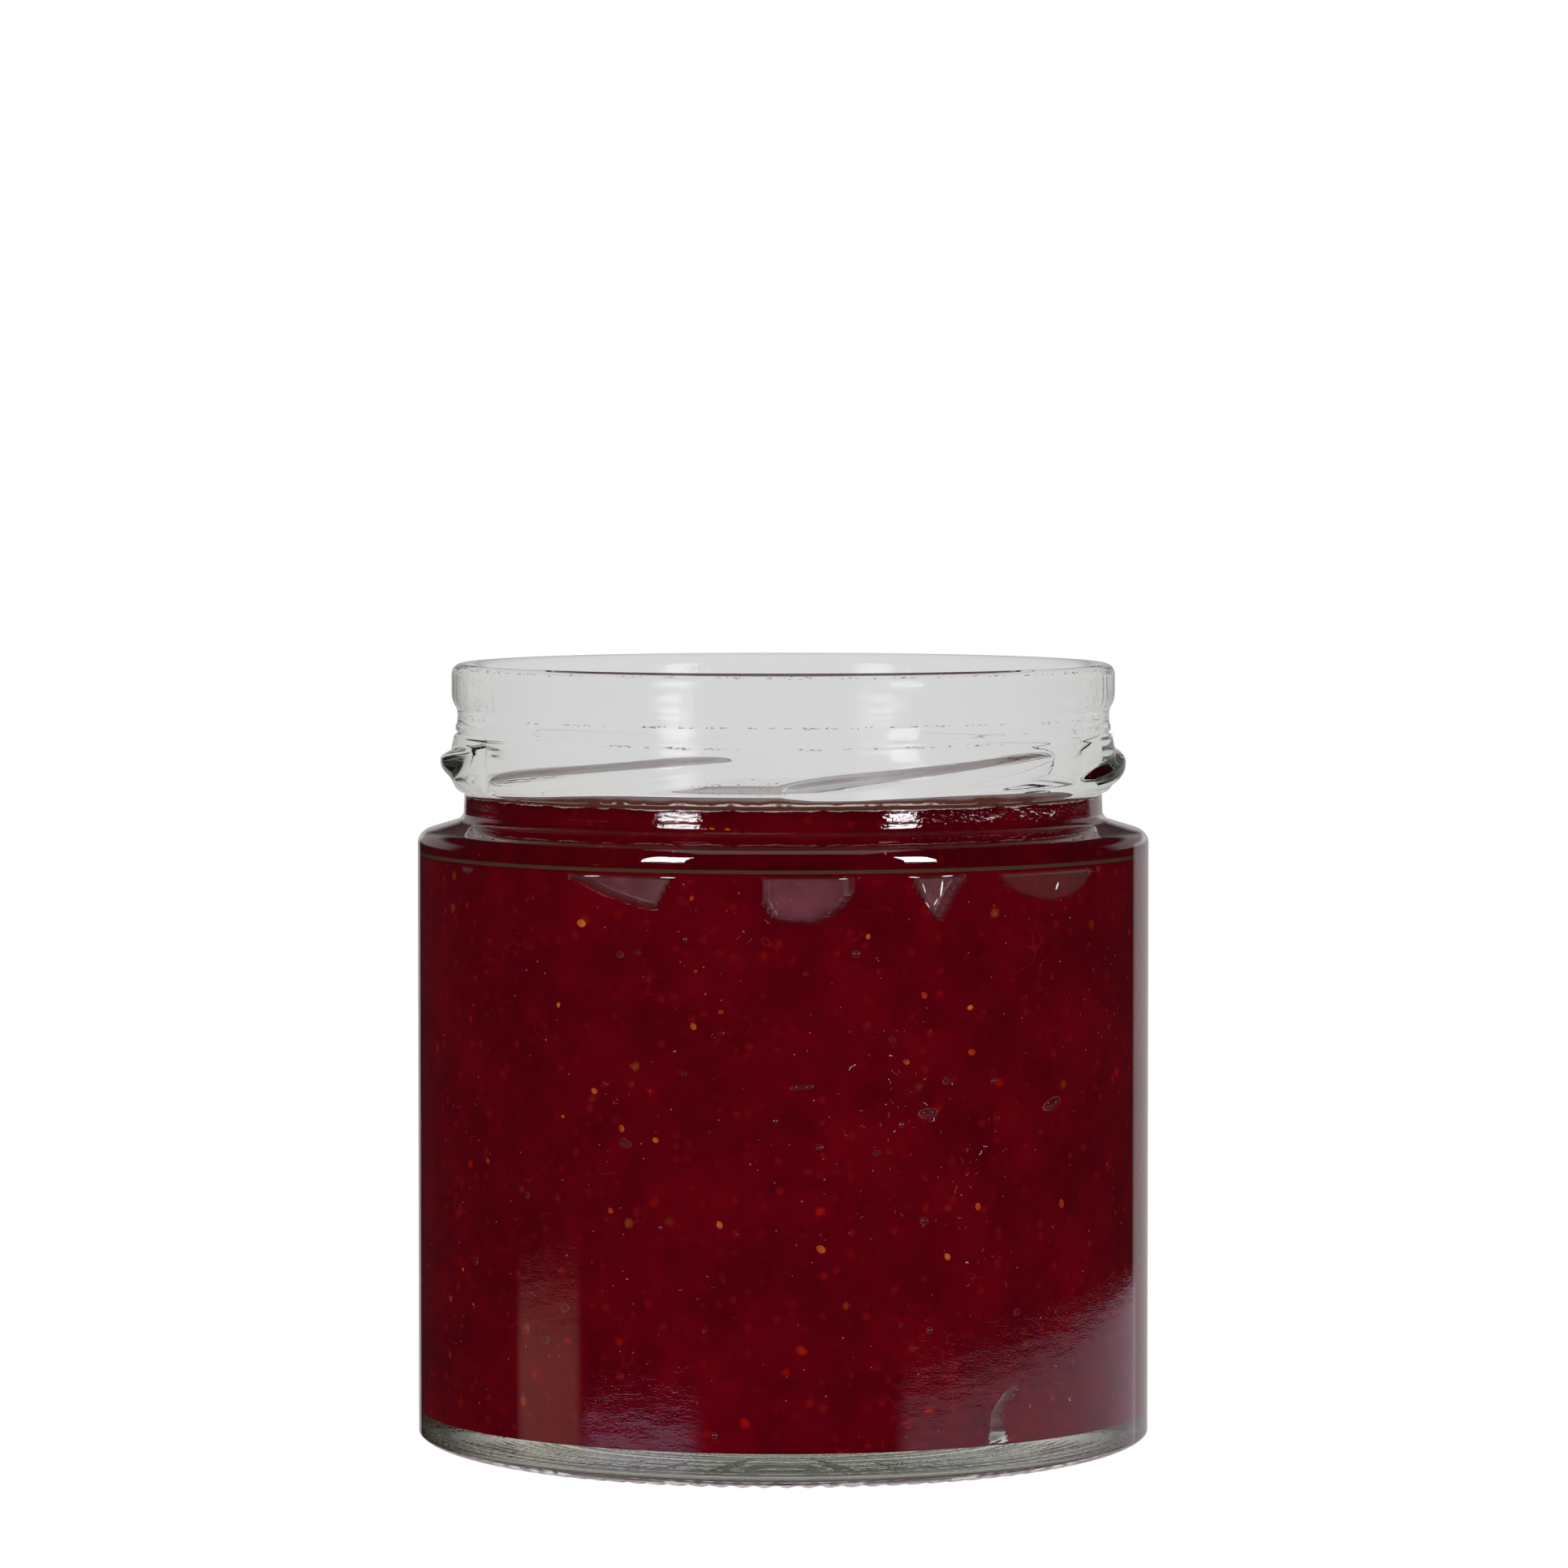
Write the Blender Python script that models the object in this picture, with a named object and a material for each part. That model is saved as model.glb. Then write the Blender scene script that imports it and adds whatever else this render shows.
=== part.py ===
"""An open twist-off jar filled with berry jam.

The jar is one turned glass wall with six thread lugs on its finish and a knurled foot. The jam is one
solid that follows the inside of the glass up to the neck, with a lumpy top and shallow air pockets
under the shoulder. Metres, +Z up, origin on the resting plane, on the jar's own axis.
"""

from math import atan2, cos, pi, radians, sin

import bmesh
import bpy
from mathutils import Matrix, Vector

MM = 0.001

# Driving dimensions, in millimetres.
BODY_RADIUS = 43.0
HEIGHT = 92.5
WALL = 2.6

# Foot: the heel curves in from the body to a knurled ring, and the middle is pushed up. A fullness of
# 2 makes the heel a quarter of an ellipse, and less brings it nearer to a chamfer.
HEEL_HEIGHT = 2.1
HEEL_FULLNESS = 1.65
FOOT_OUTER = 36.2
FOOT_INNER = 34.0
PUSH_UP = 1.9
KNURLS = 96
KNURL_DEPTH = 0.3

# Shoulder: it falls a little outwards, from the fillet at the neck to a small round corner.
SHOULDER_Z = 73.85
SHOULDER_FALL = 0.75
SHOULDER_CORNER = 1.75
NECK_RADIUS = 37.5
NECK_FILLET = 1.6

# Finish: the threaded band that takes the lid, the groove at the mould's parting, and the round lip.
BAND_BOTTOM = 78.0
BAND_RADIUS = 39.0
BAND_TAPER_Z = 82.6
BAND_TAPER = 0.2
GROOVE_Z = 86.3
GROOVE_RADIUS = 38.3
BEAD_RADIUS = 39.0
BEAD_BOTTOM = 87.8
LIP_OUTER = 1.8
LIP_INNER = 1.4
BORE_RADIUS = 35.4

# Inside of the glass.
INNER_RADIUS = BODY_RADIUS - WALL
INNER_NECK = NECK_RADIUS - WALL
INNER_SHOULDER_Z = 70.3
INNER_NECK_Z = 73.9
FLOOR_EDGE_Z = 4.2
FLOOR_CENTRE_Z = 6.0
FLOOR_CORNER = 3.2

# Thread lugs: each is a ridge that rises to the right as one looks at it. A section gives the height
# of the ridge, as a share of LUG_HEIGHT, at shares of its width from the lower side to the upper.
LUGS = 6
LUG_FIRST_START = radians(-60)
LUG_SPAN = radians(52)
LUG_START_Z = 79.2
LUG_END_Z = 82.4
LUG_HEIGHT = 1.3
LUG_UPPER = 1.5
LUG_LOWER = 2.6
LUG_END_SHARE = 0.22
LUG_ROWS_Z = BAND_BOTTOM + 0.4
LUG_SECTION = ((0, 0), (0.3, 0.5), (0.55, 0.97), (0.68, 1), (0.84, 0.6), (1, 0))

# Jam: the clearance keeps two faceted solids apart.
JAM_GAP = 0.3
JAM_LEVEL = 76.7
JAM_LUMP = 0.45
JAM_MENISCUS = 0.5

# Air pockets in the side of the jam: azimuth, height of the middle, half width, half height, depth.
POCKETS = (
    (-27, 69.4, 5.8, 3.2, 1.1),
    (4, 69.0, 4.8, 4.2, 1.2),
    (25, 69.2, 3.0, 4.2, 1.0),
    (47, 69.4, 7.0, 3.6, 1.2),
    (59.5, 64.4, 3.0, 1.1, 0.7),
    (37.5, 8.0, 1.6, 3.4, 0.8),
    (104, 69.0, 4.6, 3.4, 1.0),
    (143, 69.3, 6.2, 3.0, 1.1),
    (186, 69.1, 4.2, 4.4, 1.1),
    (231, 69.4, 6.4, 3.2, 1.2),
    (287, 69.2, 3.6, 2.6, 0.9),
)
POCKET_SIDES = 12
POCKET_RINGS = 6

JAR_SIDES = 96
JAM_SIDES = 60

GLASS = {"colour": (0.86, 0.9, 0.88, 1), "roughness": 0.03, "transmission": 1.0, "ior": 1.52}
JAM = {"colour": (0.12, 0.002, 0.006, 1), "roughness": 0.18, "transmission": 0.0, "ior": 1.42}


def clear_scene():
    for obj in list(bpy.data.objects):
        bpy.data.objects.remove(obj)


def material(name, look):
    made = bpy.data.materials.new(name)
    made.use_nodes = True
    shader = made.node_tree.nodes["Principled BSDF"].inputs
    shader["Base Color"].default_value = look["colour"]
    shader["Roughness"].default_value = look["roughness"]
    shader["Metallic"].default_value = 0.0
    shader["Transmission Weight"].default_value = look["transmission"]
    shader["IOR"].default_value = look["ior"]
    return made


def arc(centre_r, centre_z, radius, start, end, steps):
    """Points of a round stretch of a profile, as (radius, height), from start to end in degrees."""
    turn = (end - start) / steps
    angles = [radians(start + turn * i) for i in range(steps + 1)]
    return [(centre_r + radius * cos(a), centre_z + radius * sin(a)) for a in angles]


def on_wall(azimuth, radius, height):
    """A point in metres. Azimuth 0 is the jar's front, -Y, and grows towards +X."""
    return Vector((radius * sin(azimuth), -radius * cos(azimuth), height)) * MM


def heel(steps):
    """From the foot ring up to the straight body, without its first point."""
    angles = [0.5 * pi * i / steps for i in range(1, steps + 1)]
    power = 2 / HEEL_FULLNESS
    reach = BODY_RADIUS - FOOT_OUTER
    return [(FOOT_OUTER + reach * sin(a) ** power, HEEL_HEIGHT * (1 - cos(a) ** power)) for a in angles]


def foot_profile():
    """The underside, from the axis to the foot ring."""
    rise = [(FOOT_INNER * share, PUSH_UP * (1 - share**2)) for share in (0, 0.45, 0.8)]
    ring = [(FOOT_INNER - 0.7, KNURL_DEPTH), (FOOT_INNER, 0.0), (FOOT_OUTER, 0.0)]
    return rise + ring


def outside_profile():
    """From the heel up to the lip's crest. The rows of the lugs are flat here, and bent later."""
    corner_centre = BODY_RADIUS - SHOULDER_CORNER
    corner_z = SHOULDER_Z - SHOULDER_FALL - SHOULDER_CORNER
    fillet_centre = NECK_RADIUS + NECK_FILLET
    return [
        *heel(5),
        *arc(corner_centre, corner_z, SHOULDER_CORNER, 0, 68, 4),
        *arc(fillet_centre, SHOULDER_Z + NECK_FILLET, NECK_FILLET, 253, 180, 3),
        (NECK_RADIUS, BAND_BOTTOM - 1.1),
        (NECK_RADIUS + 0.5, BAND_BOTTOM - 0.55),
        (BAND_RADIUS - 0.2, BAND_BOTTOM),
        *[(BAND_RADIUS, LUG_ROWS_Z + share) for share, _ in LUG_SECTION],
        (GROOVE_RADIUS + 0.2, GROOVE_Z - 1.4),
        (GROOVE_RADIUS, GROOVE_Z),
        (BEAD_RADIUS - 0.5, BEAD_BOTTOM - 0.5),
        (BEAD_RADIUS - 0.15, BEAD_BOTTOM + 0.2),
        (BEAD_RADIUS, BEAD_BOTTOM + 1.1),
        *arc(BEAD_RADIUS - LIP_OUTER, HEIGHT - LIP_OUTER, LIP_OUTER, 0, 90, 4),
    ]


def inside_profile():
    """From the lip's crest down the bore to the middle of the floor."""
    crest = BEAD_RADIUS - LIP_OUTER
    shoulder_drop = INNER_NECK_Z - INNER_SHOULDER_Z
    corner_centre = INNER_RADIUS - FLOOR_CORNER
    corner_z = FLOOR_EDGE_Z + FLOOR_CORNER
    return [
        (crest - 0.9, HEIGHT - 0.3),
        (BORE_RADIUS + 0.2, HEIGHT - LIP_INNER + 0.3),
        (BORE_RADIUS, HEIGHT - LIP_INNER - 0.7),
        (INNER_NECK, BAND_BOTTOM - 1.1),
        (INNER_NECK + 0.2, INNER_NECK_Z + 0.3),
        (INNER_NECK + 1.2, INNER_NECK_Z - 0.35 * shoulder_drop),
        (INNER_RADIUS - 1.5, INNER_SHOULDER_Z + 0.35 * shoulder_drop),
        (INNER_RADIUS - 0.3, INNER_SHOULDER_Z),
        (INNER_RADIUS, INNER_SHOULDER_Z - 1.2),
        *arc(corner_centre, corner_z, FLOOR_CORNER, 0, -80, 4),
        (0.6 * corner_centre, FLOOR_EDGE_Z + 0.6 * (FLOOR_CENTRE_Z - FLOOR_EDGE_Z)),
        (0, FLOOR_CENTRE_Z),
    ]


def turned(profile, sides):
    """A closed solid of revolution, from a profile whose two ends lie on the axis."""
    bm = bmesh.new()
    points = [bm.verts.new((0, -radius * MM, height * MM)) for radius, height in profile]
    edges = [bm.edges.new(pair) for pair in zip(points, points[1:])]
    bmesh.ops.spin(bm, geom=points + edges, axis=(0, 0, 1), cent=(0, 0, 0), angle=2 * pi, steps=sides)
    bmesh.ops.remove_doubles(bm, verts=bm.verts, dist=0.00001)
    return bm


def linked(name, bm, look):
    """Makes the mesh an object with its own material. Its faces are turned outwards first."""
    bmesh.ops.recalc_face_normals(bm, faces=bm.faces)
    mesh = bpy.data.meshes.new(name)
    bm.to_mesh(mesh)
    bm.free()
    mesh.materials.append(material(name, look))
    mesh.shade_smooth()
    mesh.set_sharp_from_angle(angle=radians(35))
    obj = bpy.data.objects.new(name, mesh)
    bpy.context.scene.collection.objects.link(obj)
    return obj


def azimuth_of(vert):
    """The vertex's azimuth in radians, from 0 at the front up to a full turn."""
    return atan2(vert.co.x, -vert.co.y) % (2 * pi)


def knurl_foot(bm):
    """Cuts the flat foot ring into flat radial bars. A notch takes the last third of each pitch."""
    ring = [v for v in bm.verts if v.co.z < 0.01 * MM]
    across = [e for e in bm.edges if e.verts[0] in ring and e.verts[1] in ring]
    along = [e for e in across if abs(e.verts[0].co.xy.length - e.verts[1].co.xy.length) < 0.1 * MM]
    made = bmesh.ops.subdivide_edges(bm, edges=along, cuts=2, use_grid_fill=True)
    pitch = 2 * pi / KNURLS
    for item in made["geom_inner"]:
        if isinstance(item, bmesh.types.BMVert) and azimuth_of(item) % pitch > pitch / 2:
            item.co.z += KNURL_DEPTH * MM


def lug_at(azimuth):
    """The height of the lug's crest at this azimuth, and how full its section is there, 0 to 1."""
    pitch = 2 * pi / LUGS
    share = ((azimuth - LUG_FIRST_START + 1e-6) % pitch) / LUG_SPAN
    if share > 1:
        back = (share - 1) / (pitch / LUG_SPAN - 1)
        return LUG_END_Z + (LUG_START_Z - LUG_END_Z) * back, 0.0
    end = min(min(share, 1 - share) / LUG_END_SHARE, 1)
    return LUG_START_Z + (LUG_END_Z - LUG_START_Z) * share, (1 - (1 - end) ** 2) ** 0.5


def raise_lugs(bm):
    """Bends the rows of the band along the thread and lifts them into ridges."""
    for vert in bm.verts:
        across = vert.co.z / MM - LUG_ROWS_Z
        if not -0.01 < across < 1.01 or vert.co.xy.length < (BAND_RADIUS - 0.1) * MM:
            continue
        _, height = min(LUG_SECTION, key=lambda row: abs(row[0] - across))
        azimuth = azimuth_of(vert)
        crest, full = lug_at(azimuth)
        low = max(crest - LUG_LOWER * (0.4 + 0.6 * full), LUG_ROWS_Z)
        high = crest + LUG_UPPER * (0.4 + 0.6 * full)
        z = low + (high - low) * across
        band = BAND_RADIUS - BAND_TAPER * max(0, z - BAND_TAPER_Z)
        vert.co = on_wall(azimuth, band + LUG_HEIGHT * height * full, z)


def apply_modifier(obj, modifier):
    with bpy.context.temp_override(object=obj, active_object=obj, selected_objects=[obj]):
        bpy.ops.object.modifier_apply(modifier=modifier.name)


def cut(obj, tools):
    """Cuts all the tools from obj in one Boolean, and removes them."""
    group = bpy.data.collections.new(obj.name + "_tools")
    bpy.context.scene.collection.children.link(group)
    for tool in tools:
        bpy.context.scene.collection.objects.unlink(tool)
        group.objects.link(tool)
        tool.hide_render = True
        tool.display_type = "WIRE"
    boolean = obj.modifiers.new("tools", "BOOLEAN")
    boolean.operation = "DIFFERENCE"
    boolean.operand_type = "COLLECTION"
    boolean.collection = group
    boolean.solver = "EXACT"
    apply_modifier(obj, boolean)
    for tool in tools:
        bpy.data.objects.remove(tool)
    bpy.data.collections.remove(group)


def make_jar():
    profile = foot_profile() + outside_profile() + inside_profile()
    bm = turned(profile, JAR_SIDES)
    knurl_foot(bm)
    raise_lugs(bm)
    linked("jar", bm, GLASS)


def jam_top(radius, azimuth):
    """Height of the jam's free surface: slow lumps, and a lip where it clings to the glass."""
    x = radius * sin(azimuth)
    y = -radius * cos(azimuth)
    lumps = sin(0.19 * x + 1.1) * cos(0.16 * y - 0.4) + 0.6 * sin(0.31 * y + 0.22 * x)
    edge = (radius / INNER_NECK) ** 8
    return JAM_LEVEL + JAM_LUMP * lumps * (1 - 0.6 * edge) + JAM_MENISCUS * edge


def jam_profile():
    """From the middle of the floor up the glass to the level, then in over the top to the axis."""
    gap = JAM_GAP
    corner_centre = INNER_RADIUS - FLOOR_CORNER
    shoulder_drop = INNER_NECK_Z - INNER_SHOULDER_Z
    edge = INNER_NECK - gap
    return [
        (0, FLOOR_CENTRE_Z + gap),
        (0.6 * corner_centre, FLOOR_EDGE_Z + 0.6 * (FLOOR_CENTRE_Z - FLOOR_EDGE_Z) + gap),
        *arc(corner_centre, FLOOR_EDGE_Z + FLOOR_CORNER, FLOOR_CORNER - gap, -80, 0, 4),
        (INNER_RADIUS - gap, INNER_SHOULDER_Z - 1.4),
        (INNER_RADIUS - 0.4 - gap, INNER_SHOULDER_Z - 0.1),
        (INNER_RADIUS - 1.7 - gap, INNER_SHOULDER_Z + 0.35 * shoulder_drop - 0.1),
        (INNER_NECK + 1.0 - gap, INNER_NECK_Z - 0.35 * shoulder_drop - 0.1),
        (edge, INNER_NECK_Z + 0.3),
        *[(edge * share, JAM_LEVEL) for share in (1, 0.95, 0.8, 0.6, 0.4, 0.2, 0)],
    ]


def lump_top(bm):
    """Lifts the flat top of the jam to its real height."""
    for vert in bm.verts:
        if vert.co.z > (JAM_LEVEL - 0.1) * MM:
            radius = vert.co.xy.length / MM
            vert.co.z = jam_top(radius, azimuth_of(vert)) * MM


def pocket_cutter(index, azimuth, height, half_width, half_height, depth):
    """A flat lens that bites into the side of the jam. Its outer half stands clear of the solid."""
    bm = bmesh.new()
    bmesh.ops.create_uvsphere(bm, u_segments=POCKET_SIDES, v_segments=POCKET_RINGS, radius=1)
    turn = Matrix.Rotation(radians(azimuth), 4, "Z")
    place = Matrix.Translation(Vector((0, -(INNER_RADIUS - JAM_GAP) * MM, height * MM)))
    # The wall curves away from a flat lens, so a wide one needs that much more depth.
    sagitta = half_width**2 / (2 * INNER_RADIUS)
    size = Matrix.Diagonal((half_width * MM, (depth + sagitta) * MM, half_height * MM, 1))
    bmesh.ops.transform(bm, matrix=turn @ place @ size, verts=bm.verts)
    return linked(f"pocket_{index}", bm, JAM)


def make_jam():
    bm = turned(jam_profile(), JAM_SIDES)
    lump_top(bm)
    jam = linked("jam", bm, JAM)
    cutters = [pocket_cutter(i, *pocket) for i, pocket in enumerate(POCKETS)]
    cut(jam, cutters)


clear_scene()
make_jar()
make_jam()
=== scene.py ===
"""The looks of an open twist-off jar of berry jam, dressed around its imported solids.

Laid out as a Blender add-on: its settings hold the sizes and colours, one operator makes each piece or
group of like pieces, and a panel lists them. Metres, +Z up, the jar's axis on Z, its front towards -Y.
"""

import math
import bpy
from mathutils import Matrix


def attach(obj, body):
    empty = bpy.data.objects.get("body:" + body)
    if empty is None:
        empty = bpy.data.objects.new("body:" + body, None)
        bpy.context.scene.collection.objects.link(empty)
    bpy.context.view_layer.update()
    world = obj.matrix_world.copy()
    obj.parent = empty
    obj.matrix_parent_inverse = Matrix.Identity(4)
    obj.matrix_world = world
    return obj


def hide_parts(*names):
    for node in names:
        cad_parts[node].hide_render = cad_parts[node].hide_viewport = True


bl_info = {
    "name": "Berry jam jar",
    "version": (1, 0, 0),
    "blender": (4, 5, 0),
    "location": "3D View > Sidebar > Jam Jar",
    "description": "Dresses a twist-off jar of berry jam: pressed glass, set jam, seeds, pulp and bubbles",
    "category": "Object",
}

import bpy
import numpy as np
from bpy.props import FloatProperty, IntProperty, PointerProperty, StringProperty

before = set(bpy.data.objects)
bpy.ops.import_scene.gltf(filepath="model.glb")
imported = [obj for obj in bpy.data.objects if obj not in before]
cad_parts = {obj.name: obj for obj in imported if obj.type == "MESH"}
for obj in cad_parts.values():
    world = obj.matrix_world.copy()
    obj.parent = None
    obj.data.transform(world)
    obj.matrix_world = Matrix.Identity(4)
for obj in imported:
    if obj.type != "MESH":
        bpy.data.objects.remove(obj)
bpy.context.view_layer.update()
MM = 0.001


# ---------------------------------------------------------------- settings


def quantity(name, description, default, unit="LENGTH"):
    return FloatProperty(name=name, description=description, default=default, unit=unit, precision=5)


def colour(name, description, default):
    return StringProperty(name=name, description=description + ", as an sRGB hex value", default=default)


class GlassSettings(bpy.types.PropertyGroup):
    """Sizes and tint of the glass."""

    body_radius: quantity("Body radius", "Outside radius of the straight body", 0.043)
    height: quantity("Height", "Resting plane to the lip's crest", 0.0925)
    wall: quantity("Wall", "Thickness of the glass in body and neck", 0.0026)
    lug_height: quantity("Lug height", "How far a thread lug stands out of its band", 0.0013)
    knurl_depth: quantity("Knurl depth", "Depth of the notches between the foot's bars", 0.0003)
    knurls: IntProperty(name="Knurls", description="Bars round the foot ring", default=96, min=12)
    seam_height: quantity("Seam height", "How proud the mould's seams stand", 0.00008)
    tint: colour("Tint", "What a thick piece of the glass looks like", "#DBDDD2")


class JamSettings(bpy.types.PropertyGroup):
    """Level and colours of the jam, and what floats in it."""

    level: quantity("Level", "Height of the jam's top above the resting plane", 0.0758)
    reach: quantity("Reach", "How far the jam goes into the wall, so that no air gap shows", 0.00012)
    film: quantity("Film", "Air left between the jam and the flat floor", 0.00006)
    pocket_depth: quantity("Pocket depth", "Deepest part of the air pockets under the shoulder", 0.0012)
    deep: colour("Deep jam", "Colour of the jam where it is clear and deep", "#48000A")
    bright: colour("Bright jam", "Colour of the paler clouds in the jam", "#5C010D")
    pulp: colour("Pulp", "Colour of the coarse pulp", "#860D07")
    fine_pulp: colour("Fine pulp", "Colour of the fine pulp", "#78100A")
    ochre: colour("Ochre pulp", "Colour of pulp round a seed", "#7A360C")
    fibre: colour("Fibre", "Colour of the fibres of skin", "#660913")
    # Painted reflection: the jam in an air pocket is laid over with milky mauve, darker in patches.
    skin: colour("Skin", "Colour of the jam's skin in an air pocket", "#6A303E")
    pocket_reflection_dark: colour("Thin skin", "Colour of that skin where it is thin", "#521620")
    seed: colour("Seed", "Colour of a seed", "#BC6A22")
    seed_dark: colour("Deep seed", "Colour of a seed where the jelly over it is thicker", "#8C2410")
    seeds: IntProperty(name="Seeds", description="Scattered seeds at the glass", default=34, min=0)
    seed_length: quantity("Seed length", "Length of a common seed", 0.00125)
    pinpricks: IntProperty(name="Pinpricks", description="Tiny bubbles at the glass", default=750, min=0)


class StageSettings(bpy.types.PropertyGroup):
    """Camera and light."""

    distance: quantity("Camera distance", "From the jar's axis to the camera", 0.9078)
    camera_height: quantity("Camera height", "Above the resting plane", 0.1221)
    tilt: quantity("Tilt", "How far the camera looks down", 0.0483, "ROTATION")
    lens: quantity("Lens", "Focal length", 177.2, "CAMERA")
    key_power: quantity("Softbox power", "Power of each tall softbox", 13.5, "POWER")


# ---------------------------------------------------------------- small tools

WELD = 0.002 * MM


def linear(hex_value):
    """An sRGB hex value as the linear colour that shader sockets take."""
    parts = [int(hex_value[i : i + 2], 16) / 255 for i in (1, 3, 5)]
    return tuple(c / 12.92 if c <= 0.04045 else ((c + 0.055) / 1.055) ** 2.4 for c in parts) + (1.0,)


def add_node(tree, kind, settings=None, output=0):
    """Adds a shader node and returns one of its outputs. Each setting is a property, or the value of an
    input: a number, a colour as a hex value, or a socket to link."""
    node = tree.nodes.new("ShaderNode" + kind)
    for name, value in (settings or {}).items():
        if isinstance(value, bpy.types.NodeSocket):
            tree.links.new(value, node.inputs[name])
        elif isinstance(name, str) and hasattr(node, name):
            setattr(node, name, value)
        else:
            node.inputs[name].default_value = linear(value) if isinstance(value, str) else value
    return node.outputs[output] if len(node.outputs) else None


def mask(tree, *shares):
    """The product of shares from 0 to 1. Each is a socket, or (socket, low, high) for a soft step that is
    0 where the socket is at low and 1 where it is at high."""
    total = None
    for share in shares:
        if isinstance(share, tuple):
            socket, low, high = share
            step = {"interpolation_type": "SMOOTHSTEP", "Value": socket, "From Min": low, "From Max": high}
            share = add_node(tree, "MapRange", step)
        if total is not None:
            share = add_node(tree, "Math", {"operation": "MULTIPLY", 0: total, 1: share})
        total = share
    return total


def window(socket, low, high, soft):
    """The shares of a mask that is 1 where the socket is from low to high, and falls softly to 0 outside."""
    return (socket, low - soft, low), (socket, high + soft, high)


def painted(tree, base, *layers):
    """A base colour with others laid over it, each a (colour, share). A colour is a hex value or a socket."""
    for over, share in layers:
        base = add_node(tree, "Mix", {"data_type": "RGBA", 0: share, 6: base, 7: over}, 2)
    return base


def new_material(name):
    made = bpy.data.materials.new(name)
    made.use_nodes = True
    made.node_tree.nodes.clear()
    return made, made.node_tree


def give_surface(tree, settings):
    """Makes a Principled surface with these settings the material's output."""
    add_node(tree, "OutputMaterial", {"Surface": add_node(tree, "BsdfPrincipled", settings)})


def plain_material(name, hex_value, **settings):
    """A material of one colour all over."""
    made, tree = new_material(name)
    give_surface(tree, {"Base Color": hex_value, **settings})
    return made


def deselect():
    if bpy.context.mode != "OBJECT":
        bpy.ops.object.mode_set(mode="OBJECT")
    bpy.ops.object.select_all(action="DESELECT")


def spun(name, profile, steps):
    """A closed turned body: one point is extruded along the profile, and the line is turned about Z."""
    deselect()
    bpy.ops.mesh.primitive_plane_add(size=MM, location=(0, 0, 0))
    obj = bpy.context.object
    obj.name = obj.data.name = name
    bpy.ops.object.mode_set(mode="EDIT")
    bpy.ops.mesh.merge(type="CENTER")
    here = (0.0, 0.0)
    for i, (radius, height) in enumerate(profile):
        step = (0.0, -(radius - here[0]), height - here[1])
        if i == 0:
            bpy.ops.transform.translate(value=step)
        else:
            bpy.ops.mesh.extrude_region_move(TRANSFORM_OT_translate={"value": step})
        here = (radius, height)
    bpy.ops.object.mode_set(mode="OBJECT")
    bpy.ops.object.modifier_add(type="SCREW")
    screw = obj.modifiers[-1]
    screw.steps = screw.render_steps = steps
    screw.use_merge_vertices = True
    screw.merge_threshold = WELD
    bpy.ops.object.modifier_apply(modifier=screw.name)
    bpy.ops.object.mode_set(mode="EDIT")
    bpy.ops.mesh.select_all(action="SELECT")
    bpy.ops.mesh.remove_doubles(threshold=WELD)
    bpy.ops.mesh.normals_make_consistent(inside=False)
    bpy.ops.object.mode_set(mode="OBJECT")
    bpy.ops.object.shade_smooth()
    return obj


def points_of(obj):
    flat = np.empty(len(obj.data.vertices) * 3)
    obj.data.vertices.foreach_get("co", flat)
    return flat.reshape(-1, 3)


def put_points(obj, points):
    obj.data.vertices.foreach_set("co", points.astype(np.float32).ravel())
    obj.data.update()


def radii_of(points):
    return np.hypot(points[:, 0], points[:, 1])


def push_out(points, radius, out):
    """Moves points away from the Z axis, each by its own length."""
    points[:, :2] *= (1 + out / np.maximum(radius, 1e-9))[:, None]


def arc(centre_r, centre_z, radius, start, end, steps):
    """A round stretch of a profile, as (radius, height) in metres, from start to end in degrees."""
    angles = np.radians(np.linspace(start, end, steps + 1))
    return [(centre_r + radius * math.cos(a), centre_z + radius * math.sin(a)) for a in angles]


def between(a, b, steps):
    """Points on the straight line from a to b, with both ends."""
    return [(a[0] + (b[0] - a[0]) * t, a[1] + (b[1] - a[1]) * t) for t in np.linspace(0, 1, steps + 1)]


def upright(radius, low, high):
    """A straight wall from low to high without its ends, with close rows there so that it shades flat."""
    near = [0.15 * MM, 0.6 * MM, 2.0 * MM]
    middle = list(np.linspace(low + 8 * MM, high - 8 * MM, 5))
    return [(radius, z) for z in [low + d for d in near] + middle + [high - d for d in near[::-1]]]


def metres(points, radius=0.0, height=0.0):
    """Points of a profile in millimetres from a radius and a height, as metres."""
    return [(radius + r * MM, height + z * MM) for r, z in points]


def smooth(x, low, high):
    """A soft step from 0 at low to 1 at high."""
    t = np.clip((x - low) / (high - low), 0, 1)
    return t * t * (3 - 2 * t)


def azimuths(points):
    """Azimuth in degrees, 0 at the front, growing towards +X, from -180 to 180."""
    return np.degrees(np.arctan2(points[:, 0], -points[:, 1]))


def around(azimuth, middle):
    """How far azimuth is from middle, in degrees, the short way round."""
    return (azimuth - middle + 180) % 360 - 180


def finish_piece(obj, slot, materials, *nodes):
    """Gives a piece its materials, says what it rides on and hides what it replaces; slot is not used."""
    for made in materials:
        obj.data.materials.append(made)
    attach(obj, "root")
    if nodes:
        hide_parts(*nodes)


# ---------------------------------------------------------------- the glass

SHOULDER_CORNER_Z = 71.35 * MM
SHOULDER_CORNER = 1.75 * MM
SHOULDER_END = (38.54 * MM, 74.0 * MM)
NECK_RADIUS = 37.5 * MM
NECK_BOTTOM = 73.6 * MM
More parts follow.
